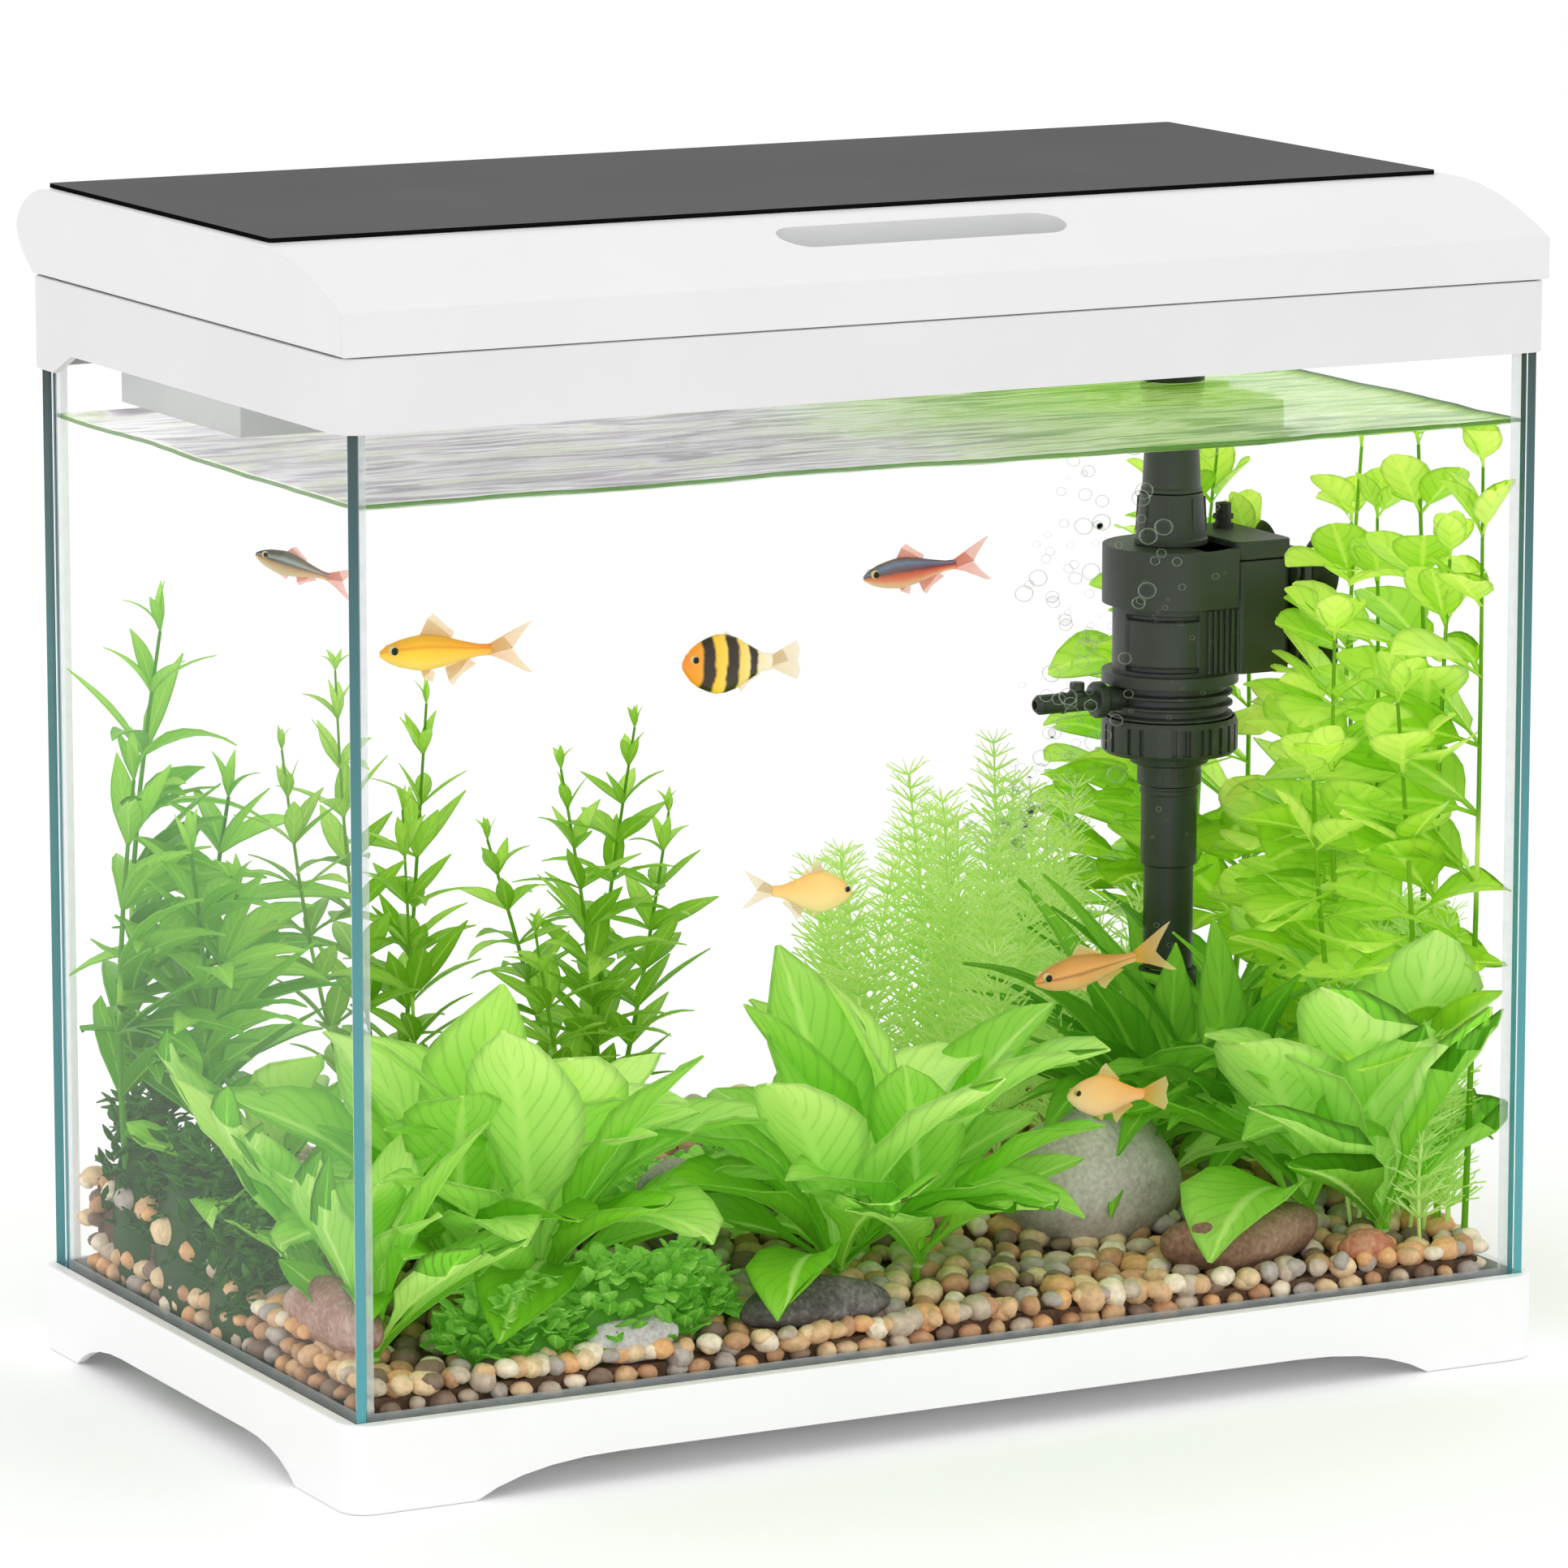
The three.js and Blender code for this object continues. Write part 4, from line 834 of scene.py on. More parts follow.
def stemPoints(foot, top, sway, draw, steps=7):
    # from the gravel to the top, leaning and swaying a little
    points = []
    turn = draw.uniform(0, fullTurn)
    for i in range(steps + 1):
        t = i / steps
        bow = math.sin(t * math.pi) * sway
        points.append(foot.lerp(top, t) + Vector((math.cos(turn), math.sin(turn), 0)) * bow * mm)
    return points


def pointOn(points, t):
    place = t * (len(points) - 1)
    low = min(int(place), len(points) - 2)
    return points[low].lerp(points[low + 1], place - low)


def shade(value):
    # held between 0 and 1
    return min(1, max(0, value))


def insideTank(matrix, reach):
    # whether a leaf's tip is clear of the glass
    tip = matrix @ Vector((0, reach, 0))
    y = tip.y / mm + backShift
    return abs(tip.x / mm) < insideX - 1 and insideFront + 1 < y < insideBack - 1


def whorledStem(leaves, draw, foot, top, s):
    # leaves in rings up the stem, longest in the middle and crowded at the tip
    points = stemPoints(foot, top, s["sway"], draw)
    parts = [(makeStem(points, s["stalk"], s["stalk"] * 0.45), Matrix.Identity(4), 0.0)]
    height = (top - foot).length / mm
    rings = max(3, int(height / s["gap"]))
    for ring in range(rings):
        t = s["bare"] + (1 - s["bare"]) * (ring + 1) / rings
        root = pointOn(points, min(t, 1))
        size = s["length"] * (0.55 + 0.6 * math.sin(math.pi * min(0.97, t) ** 0.8)) * draw.uniform(0.85, 1.1)
        size *= 1 - s.get("shrink", 0.45) * max(0, t - 0.8) / 0.2
        lift = s["lift"] + 0.75 * max(0, t - 0.75) / 0.25
        for leaf in range(s["ring"]):
            for attempt in range(5):
                yaw = ring * s["twist"] + leaf * 2 * math.pi / s["ring"]
                yaw += draw.uniform(-0.35, 0.35) + attempt * 1.3
                matrix = leafMatrix(root, yaw, lift + draw.uniform(-0.35, 0.3), draw.uniform(-0.5, 0.5), size)
                if insideTank(matrix, 0.9):
                    break
            shape = draw.choice(leaves)
            # painted light: leaves higher up the stem are lighter
            parts.append((shape, matrix, shade(0.15 + 0.75 * t + draw.uniform(-0.3, 0.3))))
    return parts


def finishPlant(parts, nodeName, material, spare):
    plant = gather(parts, nodeName + "_leaves")
    throwAway({*spare, *(p[0] for p in parts)})
    holdInside(plant)
    paint(plant, material)
    put(plant, nodeName + "_leaves", "tank", [nodeName])
    print(nodeName, "grown with", len(plant.data.polygons), "faces")


stemPlants = {
    "plant_lance_left": {
        "leaves": ("lance", 0.25, (0.3, 0.7, 1.1)), "material": lanceLeaf, "seed": 11,
        "stems": [((-178, 208), (-170, 206, 228)), ((-190, 190), (-188, 186, 186)),
                  ((-160, 200), (-152, 196, 176)), ((-184, 160), (-184, 152, 168)),
                  ((-168, 176), (-160, 172, 150))],
        "length": 48, "gap": 20, "ring": 4, "twist": 0.8, "lift": 0.7, "stalk": 1.3, "bare": 0.12, "sway": 6},
    "plant_stem_corner": {
        "leaves": ("lance", 0.28, (0.2, 0.6, 1.0)), "material": stemLeaf, "seed": 12,
        "stems": [((-102, 181), (-118, 190, 214)), ((-100, 186), (-84, 196, 200)),
                  ((-112, 178), (-140, 182, 192)), ((-96, 176), (-100, 180, 170))],
        "length": 25, "gap": 17, "ring": 4, "twist": 0.8, "lift": 0.75, "stalk": 0.9, "bare": 0.15,
        "sway": 4},
    "plant_stem_centre": {
        "leaves": ("lance", 0.32, (0.2, 0.6, 1.0)), "material": stemLeaf, "seed": 13,
        "stems": [((-38, 178), (-20, 178, 190)), ((-34, 174), (-44, 182, 178)), ((-40, 184), (-66, 190, 156)),
                  ((-30, 180), (-4, 186, 160)), ((-44, 170), (-58, 172, 128))],
        "length": 24, "gap": 13.5, "ring": 4, "twist": 0.8, "lift": 0.75, "stalk": 1.0, "bare": 0.12,
        "sway": 4},
    "plant_round_right": {
        "leaves": ("round", 0.8, (0.2, 0.6, 1.0)), "material": roundLeaf, "seed": 14,
        "stems": [((190, 96), (191, 92, 252)), ((188, 84), (187, 80, 278)), ((183, 66), (182, 62, 258)),
                  ((186, 44), (183, 40, 284)), ((188, 30), (185, 24, 250)), ((190, 18), (189, 12, 280)),
                  ((180, 58), (162, 54, 222)), ((184, 36), (168, 26, 206)), ((178, 50), (150, 46, 180)),
                  ((190, 108), (187, 110, 206))],
        "length": 33, "gap": 25, "ring": 3, "twist": 1.1, "lift": 0.6, "shrink": 0.1, "stalk": 1.2,
        "bare": 0.2, "sway": 5},
    "plant_round_back": {
        "leaves": ("round", 0.8, (0.2, 0.6, 1.0)), "material": roundLeaf, "seed": 15,
        "stems": [((186, 192), (191, 188, 284)), ((184, 180), (190, 174, 266)), ((188, 164), (192, 158, 236)),
                  ((178, 198), (186, 202, 246)), ((182, 204), (180, 210, 200))],
        "length": 33, "gap": 22, "ring": 3, "twist": 1.1, "lift": 0.6, "shrink": 0.1, "stalk": 1.2,
        "bare": 0.22, "sway": 5},
}

for nodeName, s in stemPlants.items():
    draw = random.Random(s["seed"])
    profile, width, bends = s["leaves"]
    leaves = leafSet(profile, width, bends, 4, 10 if profile == "round" else 6, 0.22)
    parts = []
    for (x, y), top in s["stems"]:
        parts += whorledStem(leaves, draw, at(x, y, gravelTop(x, y) - 4), at(*top), s)
    finishPlant(parts, nodeName, s["material"], leaves)

featherPlants = {
    "plant_feather_centre": {
        "seed": 21, "length": 13, "gap": 4.2, "ring": 11, "count": 36, "middle": (97, 164),
        "spread": (56, 32), "low": 96, "high": 184},
    "plant_feather_right": {
        "seed": 22, "length": 11, "gap": 3.6, "ring": 11, "count": 22, "middle": (176, 34),
        "spread": (18, 16), "low": 98, "high": 146},
}

for nodeName, s in featherPlants.items():
    draw = random.Random(s["seed"])
    needles = leafSet("needle", 0.06, (-0.3, 0.35), 1, 3, 0, 0.035)
    needleRing = []
    for i in range(s["ring"]):
        matrix = leafMatrix(Vector(), i * 2 * math.pi / s["ring"], 0.45 + 0.2 * (i % 2), 0, 1 / mm)
        needleRing.append((needles[i % 2], matrix, None))
    whorl = gather(needleRing, "whorl")
    parts = []
    for _ in range(s["count"]):
        around, out = draw.uniform(0, fullTurn), math.sqrt(draw.random())
        x = s["middle"][0] + math.cos(around) * out * s["spread"][0]
        y = s["middle"][1] + math.sin(around) * out * s["spread"][1]
        if nodeName == "plant_feather_centre" and abs(x - pumpAxis[0]) < 22 and abs(y - pumpAxis[1]) < 24:
            y += 40  # clear of the pump
        topZ = s["high"] - (s["high"] - s["low"]) * out * draw.uniform(0.5, 1.1)
        foot = at(x * 0.96 + s["middle"][0] * 0.04, y, gravelTop(x, y) - 4)
        points = stemPoints(foot, at(x + draw.uniform(-8, 8), y + draw.uniform(-4, 4), topZ), 4, draw)
        parts.append((makeStem(points, 0.7, 0.3), Matrix.Identity(4), 0.4))
        rings = int((topZ - 60) / s["gap"])
        for ring in range(rings):
            t = 0.08 + 0.92 * (ring + 1) / rings
            size = s["length"] * (1.1 - 0.5 * t ** 3) * draw.uniform(0.85, 1.15)
            turn = Matrix.Rotation(draw.uniform(0, fullTurn), 4, "Z")
            turn = turn @ Matrix.Rotation(draw.uniform(-0.2, 0.2), 4, "X")
            matrix = Matrix.Translation(pointOn(points, t)) @ turn @ Matrix.Scale(size * mm, 4)
            # painted light: whorls higher up the stem are lighter
            parts.append((whorl, matrix, shade(0.3 + 0.6 * t + draw.uniform(-0.15, 0.15))))
    finishPlant(parts, nodeName, featherLeaf, [*needles, whorl])

rosettes = {
    "plant_broad_left": {
        "leaves": ("sword", 0.38, (0.5, 1.0, 1.5)), "material": broadLeaf, "seed": 31,
        "hearts": [(-134, 66, 18), (-118, 50, 12), (-104, 64, 10)], "length": (50, 110), "lift": (0.6, 1.55)},
    "plant_broad_side": {
        "leaves": ("sword", 0.3, (0.5, 1.0)), "material": broadLeaf, "seed": 32,
        "hearts": [(-170, 100, 12), (-174, 60, 10), (-180, 32, 8), (-162, 150, 10)],
        "length": (44, 86), "lift": (0.6, 1.4)},
    "plant_broad_centre": {
        "leaves": ("sword", 0.4, (0.5, 1.0, 1.5)), "material": broadLeaf, "seed": 33,
        "hearts": [(-18, 44, 17), (10, 44, 13), (0, 62, 9)], "length": (50, 102), "lift": (0.6, 1.55)},
    "plant_broad_right": {
        "leaves": ("sword", 0.46, (0.5, 1.0, 1.5)), "material": broadLeaf, "seed": 34,
        "hearts": [(166, 28, 15), (184, 42, 10), (150, 46, 8)], "length": (58, 106), "lift": (0.5, 1.55)},
    "plant_grass": {
        "leaves": ("lance", 0.2, (0.7, 1.3, 1.8)), "material": grassLeaf, "seed": 35,
        "hearts": [(124, 106, 22), (148, 94, 24), (168, 84, 20), (176, 122, 16), (140, 118, 20)],
        "length": (64, 104), "lift": (0.8, 1.5)},
}

for nodeName, s in rosettes.items():
    draw = random.Random(s["seed"])
    profile, width, bends = s["leaves"]
    leaves = leafSet(profile, width, bends, 4, 10, 0.35, 0.008, 0.08)
    parts = []
    for x, y, count in s["hearts"]:
        heart = at(x, y, gravelTop(x, y) - 2)
        parts.append((makeStem([heart + Vector((0, 0, z * mm)) for z in (-4, 3, 8)], 3.2, 1.6),
                      Matrix.Identity(4), 0.2))
        for number in range(count):
            share = (number + 0.5) / count
            for attempt in range(12):
                yaw = number * 2.4 + draw.uniform(-0.3, 0.3) + attempt * 0.7
                lift = s["lift"][0] + (s["lift"][1] - s["lift"][0]) * share + draw.uniform(-0.1, 0.1)
                size = s["length"][0] + (s["length"][1] - s["length"][0]) * (0.35 + 0.65 * share)
                size *= draw.uniform(0.82, 1.05) * (1 - 0.03 * attempt)
                matrix = leafMatrix(heart + Vector((0, 0, draw.uniform(2, 6) * mm)), yaw, lift,
                                    draw.uniform(-0.3, 0.3), size)
                if insideTank(matrix, 0.8):
                    break
            shape = draw.choice(leaves)
            # painted light: the later, taller and more upright leaves are lighter
            parts.append((shape, matrix, shade(0.2 + 0.5 * share + draw.uniform(-0.2, 0.35))))
    finishPlant(parts, nodeName, s["material"], leaves)

cushions = {
    # low plants: leaves scattered over a mound
    "plant_carpet": {
        "material": carpetLeaf, "seed": 41, "profile": "clover", "width": 0.9, "size": (5.0, 7.5),
        "mounds": [(-136, 26, 25, 15, 20), (-104, 24, 27, 14, 26), (-78, 34, 16, 12, 22),
                   (-78, 128, 28, 22, 14), (-36, 122, 26, 22, 14), (8, 138, 26, 26, 14)],
        "count": 300, "sink": 2},
    "plant_moss": {
        "material": mossLeaf, "seed": 42, "profile": "lance", "width": 0.42, "size": (5.5, 9),
        "mounds": [(-186, 150, 10, 30, 42), (-186, 112, 10, 24, 32), (-184, 188, 12, 24, 46),
                   (-168, 140, 16, 26, 40)],
        "count": 420, "sink": 12},
}

for nodeName, s in cushions.items():
    draw = random.Random(s["seed"])
    leaves = leafSet(s["profile"], s["width"], (-0.5, 0.4), 2, 3, 0.3, 0.06)
    parts = []
    for x, y, wide, deep, tall in s["mounds"]:
        z = gravelTop(x, y) - s["sink"]
        bpy.ops.object.select_all(action="DESELECT")
        bpy.ops.mesh.primitive_ico_sphere_add(subdivisions=3, radius=1)
        mound = bpy.context.object
        mound.location, mound.scale = at(x, y, z), (wide * 0.8 * mm, deep * 0.8 * mm, tall * 0.8 * mm)
        applyPlace(mound)
        # painted shade: the mound under the leaves takes the darkest tone
        parts.append((mound, Matrix.Identity(4), 0.0))
        for _ in range(s["count"]):
            around, up = draw.uniform(0, fullTurn), draw.uniform(0.02, 1)
            out = math.sqrt(1 - up * up * 0.98)
            shell = draw.uniform(0.78, 1.06)
            root = at(x + math.cos(around) * out * wide * shell, y + math.sin(around) * out * deep * shell,
                      z + up * tall * shell)
            matrix = leafMatrix(root, draw.uniform(0, fullTurn), draw.uniform(-0.1, 0.9),
                                draw.uniform(-0.5, 0.5), draw.uniform(*s["size"]))
            if insideTank(matrix, 1):
                shape = draw.choice(leaves)
                # painted light: leaves higher on the mound are lighter
                parts.append((shape, matrix, shade(0.1 + 0.6 * up * shell + draw.uniform(-0.1, 0.3))))
    finishPlant(parts, nodeName, s["material"], leaves)
print("plants ready")

# pump
pumpSides = 56


def turned(name, rings, sides=pumpSides, closed=True):
    # a round part from rings of (radius, height)
    # closed joins the last ring to the first, and otherwise the foot is capped
    bpy.ops.object.select_all(action="DESELECT")
    bpy.ops.mesh.primitive_circle_add(vertices=sides, radius=rings[0][0] * mm,
                                      location=(0, 0, rings[0][1] * mm))
    part = bpy.context.object
    part.name = name
    applyPlace(part)
    editAll()
    bpy.ops.mesh.select_mode(type="VERT")
    bpy.ops.mesh.select_all(action="SELECT")
    if not closed:
        bpy.ops.mesh.edge_face_add()
    for (r0, z0), (r1, z1) in zip(rings, rings[1:] + rings[:1] if closed else rings[1:]):
        bpy.ops.mesh.extrude_region_move(TRANSFORM_OT_translate={"value": (0, 0, (z1 - z0) * mm)})
        bpy.ops.transform.resize(value=(r1 / r0, r1 / r0, 1), center_override=(0, 0, z1 * mm))
    bpy.ops.mesh.select_all(action="SELECT")
    bpy.ops.mesh.remove_doubles(threshold=weldGap / 2)
    bpy.ops.mesh.normals_make_consistent(inside=False)
    leaveEdit()
    return part


def brick(x0, x1, y0, y1, z0, z1, edge=0.0, upright=0.0):
    # a block between tank millimetres; upright rounds its four standing edges
    bpy.ops.object.select_all(action="DESELECT")
    bpy.ops.mesh.primitive_cube_add(size=1, location=at((x0 + x1) / 2, (y0 + y1) / 2, (z0 + z1) / 2))
    block = bpy.context.object
    block.scale = ((x1 - x0) * mm, (y1 - y0) * mm, (z1 - z0) * mm)
    applyPlace(block)
    if upright:
        editAll()
        choose(block, lambda e: abs(e.verts[0].co.z - e.verts[1].co.z) > 0.5 * (z1 - z0) * mm, "EDGE")
        bpy.ops.mesh.bevel(offset=upright * mm, segments=5)
        leaveEdit()
    if edge:
        roundEdges(block, edge, 50)
    return block


def standUp(part, x=pumpAxis[0]):
    part.location = at(x, pumpAxis[1], 0)
    applyPlace(part)
    return part


def layAlongX(part, x, y, z):
    # a part turned on the Z axis laid along X, its foot at x
    part.rotation_euler = (0, math.pi / 2, 0)
    part.location = at(x, y, z)
    applyPlace(part)


def finishPump(parts, nodeName, body="tank", material=pumpAbs, edge=0.18):
    for part in parts:
        if edge:
            roundEdges(part, edge, 40)
    whole = joinAll(parts, nodeName + "_moulding")
    smoothBy(whole)
    finishWith(whole, "WEIGHTED_NORMAL", weight=100, keep_sharp=True)
    paint(whole, material)
    put(whole, nodeName + "_moulding", body, [nodeName])


def buildPumpBody():
    x, y = pumpAxis
    barrel = turned("barrel", [
        (8.5, 197.6), (22, 197.6), (22, 201.4), (18.6, 201.4), (18.6, 202.4), (18.6, 204.2),
        (18.6, 219.2), (18.6, 221), (18.6, 222.9), (8.5, 222.9)], 72)
    # the sunk rating plate with a dark slot above and below it
    editAll()

    def between(face, low, high):
        spot = face.calc_center_median()
        turn = math.degrees(math.atan2(spot.y, spot.x))
        outside = math.hypot(spot.x, spot.y) > 18 * mm
        return low * mm < spot.z < high * mm and -172 < turn < -88 and outside

    choose(barrel, lambda f: between(f, 204.2, 219.2), "FACE")
    bpy.ops.mesh.inset(thickness=0.4 * mm, depth=-0.7 * mm)
    for low, high in ((202.4, 204.2), (219.2, 221)):
        choose(barrel, lambda f: between(f, low, high), "FACE")
        bpy.ops.mesh.inset(thickness=0.3 * mm, depth=-1.6 * mm)
    leaveEdit()
    standUp(barrel)
    thread = [(8.5, 179.2), (18, 179.2)]
    for foot in (186.2, 189.8, 193.4):
        thread += [(18, foot), (20.2, foot + 0.5), (20.2, foot + 1.3), (18, foot + 1.8)]
    thread = standUp(turned("thread", thread + [(18, 198.2), (8.5, 198.2)], 72))
    parts = [barrel, thread,
             brick(x, 168, y - 18.6, y + 18.6, 201.2, 222.9),
             brick(165, 185, 118, 158, 201.2, 237.6, 0.3, 3)]
    for rib in range(6):  # grip ribs on both flanks
        spot = 154.6 + rib * 2.1
        for flank in (y - 18.75, y + 18.75):
            parts.append(brick(spot, spot + 1.1, flank - 0.75, flank + 0.75, 202, 222.6, 0.15))
    finishPump(parts, "pump_body")


def buildPumpHead():
    x, y = pumpAxis
    cover = standUp(turned("cover", [(7, 223.2), (22, 223.2), (22, 242), (7, 242)], 72))
    parts = [cover,
             brick(x, 164.4, y - 22, y + 22, 223.2, 242, 0.2),
             brick(164.4, 185, 117.6, 158.4, 238, 244, 0.4, 3)]
    finishPump(parts, "pump_head")


def buildPumpTubes():
    collar = standUp(turned("collar", [
        (7.2, 242.2), (11.8, 242.2), (11.8, 244), (11.3, 244.4), (10.9, 250), (10.9, 250.3),
        (10.2, 258.7), (7.2, 258.7)]))
    flutes = []
    flute = brick(10.4, 11.9, 116.35, 117.35, 245.4, 256.6, 0.2)  # modelled once, then set round the collar
    outwards = Matrix.Translation((10.6 * mm, 0, 0))
    for turn in range(8):
        matrix = (Matrix.Translation(at(*pumpAxis, 0)) @ Matrix.Rotation(turn * math.pi / 4 + 0.2, 4, "Z")
                  @ Matrix.Rotation(-0.045, 4, "Y"))
        flutes.append(copyOf(flute, matrix @ outwards))
    throwAway([flute])
    finishPump([collar, *flutes], "outlet_collar")
    tubes = {
        "riser_tube": [(6.9, 259), (9.8, 259), (9.8, 260.2), (9.4, 260.6), (8.7, 275), (8.5, 276),
                       (8.5, 311.6), (6.9, 311.6)],
        "intake_adapter": [(7.6, 164.2), (10.3, 164.2), (10.3, 170.6), (11.2, 170.8), (12.6, 171.4),
                           (12.6, 174.3), (13, 174.9), (13, 177.4), (17.4, 177.4), (17.4, 178.7),
                           (7.6, 178.7)],
        "intake_tube": [(6.6, 104.2), (8, 104.2), (8, 137.6), (9, 138.2), (9, 161), (9.4, 161.4),
                        (9.4, 162.6), (9, 163), (9, 163.8), (6.6, 163.8)],
    }
    for nodeName, rings in tubes.items():
        finishPump([standUp(turned(nodeName, rings))], nodeName)
        if nodeName == "riser_tube":
            finishPump([cleanCopy("outlet_elbow")], "outlet_elbow", edge=0.25)
    strainer = turned("strainer", [
        (6.7, 103.6), (9.4, 103.6), (9.3, 100), (8.5, 88), (8.4, 84.3), (6.7, 84.3)], 48)
    editAll()

    def slotFace(face):
        spot = face.calc_center_median()
        turn = round(math.degrees(math.atan2(spot.y, spot.x)) / 7.5 - 0.5)
        outside = math.hypot(spot.x, spot.y) > 7.5 * mm
        return 88 * mm < spot.z < 100 * mm and turn % 3 == 0 and outside

    choose(strainer, slotFace, "FACE")
    bpy.ops.mesh.inset(thickness=0.15 * mm, depth=-1.6 * mm, use_individual=True)
    leaveEdit()
    finishPump([standUp(strainer)], "intake_strainer", "intake_strainer", edge=0)


def buildUnionNut():
    nut = turned("nut", [
        (13.1, 174.7), (20.6, 174.7), (21.6, 175.6), (21.9, 176.2), (21.9, 184.6), (21.6, 185.4),
        (21.2, 186.4), (20.7, 186.4), (20.7, 177), (13.1, 177)], 90)
    editAll()

    def gripFace(face):
        spot = face.calc_center_median()
        turn = round(math.degrees(math.atan2(spot.y, spot.x)) / 4 - 0.5)
        outside = math.hypot(spot.x, spot.y) > 21.4 * mm
        return 176.2 * mm < spot.z < 184.6 * mm and turn % 3 == 0 and outside

    choose(nut, gripFace, "FACE")
    bpy.ops.mesh.inset(thickness=0.12 * mm, depth=-0.9 * mm, use_individual=True)
    leaveEdit()
    finishPump([standUp(nut)], "union_nut", "union_nut", edge=0)


def buildAirNozzle():
    valveX = 117.6
    barb = turned("barb", [
        (1.4, 0), (2.1, 0), (3.2, 1.4), (3.2, 9.4), (3.5, 9.8), (3.5, 10.6), (3.2, 11), (3.2, 21.2),
        (5.4, 21.5), (5.9, 22), (5.9, 24.4), (5.4, 25), (4, 25.3), (4, 31.6), (1.4, 31.6)], 40)
    layAlongX(barb, 102.2, pumpAxis[1], 193.3)
    seat = turned("seat", [(1.3, 195.4), (2.9, 195.4), (2.9, 196.4), (2.7, 196.7), (1.3, 196.7)], 28)
    finishPump([barb, standUp(seat, valveX)], "air_nozzle")
    knob = turned("knob", [
        (1.1, 195.2), (1.1, 196.9), (2.4, 196.9), (2.4, 199.2), (2.1, 199.6), (0.4, 199.6)], 28, False)
    finishPump([standUp(knob, valveX)], "air_regulator", "air_regulator", edge=0.06)


def buildCups():
    finishPump([cleanCopy("suction_bracket")], "suction_bracket", edge=0.35)
    spots = ((119.5, 207.5), (156.5, 207.5), (119.5, 233), (156.5, 233))
    for number, (y, z) in enumerate(spots, 1):
        cup = turned("cup", [
            (3.8, 0.4), (4, 0.9), (4, 1.9), (3.5, 2.3), (2.6, 2.4), (2.6, 6.2), (3.8, 6.4), (4.6, 8),
            (7, 9.2), (9.6, 10.4), (10.8, 11.7), (10.8, 11.9), (9.4, 11.3), (5, 10.4), (0.5, 10.2)], 40, False)
        layAlongX(cup, 185, y, z)
        finishPump([cup], f"suction_cup_{number}", "tank", cupRubber, 0.08)


buildPumpBody()
buildPumpHead()
buildPumpTubes()
buildUnionNut()
buildAirNozzle()
buildCups()
print("pump ready")

# the hidden running gear and the small fittings keep their shapes
steel, steelShader = startMaterial("brushedSteel", {"Metallic": 1.0, "Base Color": "#c4c6c8"})
wearShine(steel, steelShader, 3, 0.22, 0.38)
roughen(steel, steelShader, 0.5, 0.08)
ceramic, ceramicShader = startMaterial("glazedCeramic", {"IOR": 1.6, "Roughness": 0.15})
mottle(ceramic, ceramicShader, 4, [(0.3, "#e6e3da"), (0.7, "#f4f2ec")])
boardMask, boardShader = startMaterial("whiteSolderMask", {"IOR": 1.5, "Roughness": 0.3})
mottle(boardMask, boardShader, 6, [(0.3, "#e9ebe8"), (0.7, "#f6f7f4")])
roughen(boardMask, boardShader, 1.5, 0.1)
lens, lensShader = startMaterial("opalAcrylic", {"IOR": 1.49, "Roughness": 0.35, "Alpha": 0.8})
mottle(lens, lensShader, 20, [(0.3, "#f4f6f6"), (0.7, "#ffffff")])
for nodeName, material in (("hinge_pin_left", steel), ("hinge_pin_right", steel), ("impeller", rotorAbs),
                           ("impeller_shaft", ceramic), ("led_board", boardMask), ("led_lens", lens),
                           ("cable_grommet", grommetRubber), ("pump_gland", grommetRubber)):
    paint(nodes[nodeName], material)


# filter foam and the mat under the glass
def foamMaterial(name, dark, light, cell, bump):
    # reticulated filter foam: open cells as small pits, darker at the middle of each pit as painted shade, no
    # shine
    material, shader = startMaterial(name, {"Roughness": 0.95, "Specular IOR Level": 0.1})
    cells = addNode(material, "TexVoronoi", {"Vector": onSurface(material), "Scale": 1000 / cell})
    tint = addNode(material, "ValToRGB", {"Fac": cells}, [(0.1, dark), (0.6, light)])
    connect(material, tint, shader.inputs["Base Color"])
    pits = addNode(material, "Bump", {"Strength": bump, "Distance": 0.5 * mm, "Height": cells})
    connect(material, pits, shader.inputs["Normal"])
    return material


def buildFoam(nodeName, material, crown, edge):
    low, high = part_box(nodeName)
    middle, size = (low + high) / 2, high - low
    bpy.ops.object.select_all(action="DESELECT")
    bpy.ops.mesh.primitive_cube_add(size=1, location=middle)
    pad = bpy.context.object
    pad.scale = size
    applyPlace(pad)
    editAll()
    bpy.ops.mesh.subdivide(number_cuts=11)
    leaveEdit()
    for v in pad.data.vertices:  # the top sits highest in the middle and the sides draw in a little
        u = (v.co.x - middle.x) / size.x * 2
        w = (v.co.y - middle.y) / size.y * 2
        if v.co.z > middle.z:
            v.co.z -= crown * mm * max(u * u, w * w) ** 2
        v.co.x -= 0.3 * crown * mm * u * (1 - w * w)
        v.co.y -= 0.3 * crown * mm * w * (1 - u * u)
    roundEdges(pad, edge, 50)
    smoothBy(pad, 50)
    paint(pad, material)
    put(pad, nodeName + "_foam", "tank", [nodeName])


buildFoam("filter_sponge", foamMaterial("filterFoam", "#14191e", "#3c4852", 2.2, 0.9), 2.0, 1.0)
buildFoam("foam_mat", foamMaterial("closedCellMat", "#26282a", "#3d4042", 1.2, 0.4), 0.3, 0.3)
print("foam ready")

# water surface
waterSettings = {"level": 294.6, "size": (393.2, 218.2), "thick": 1.2, "swell": 1.6, "ripple": 0.5,
                 "climb": 1.3, "climbWidth": 2.2}


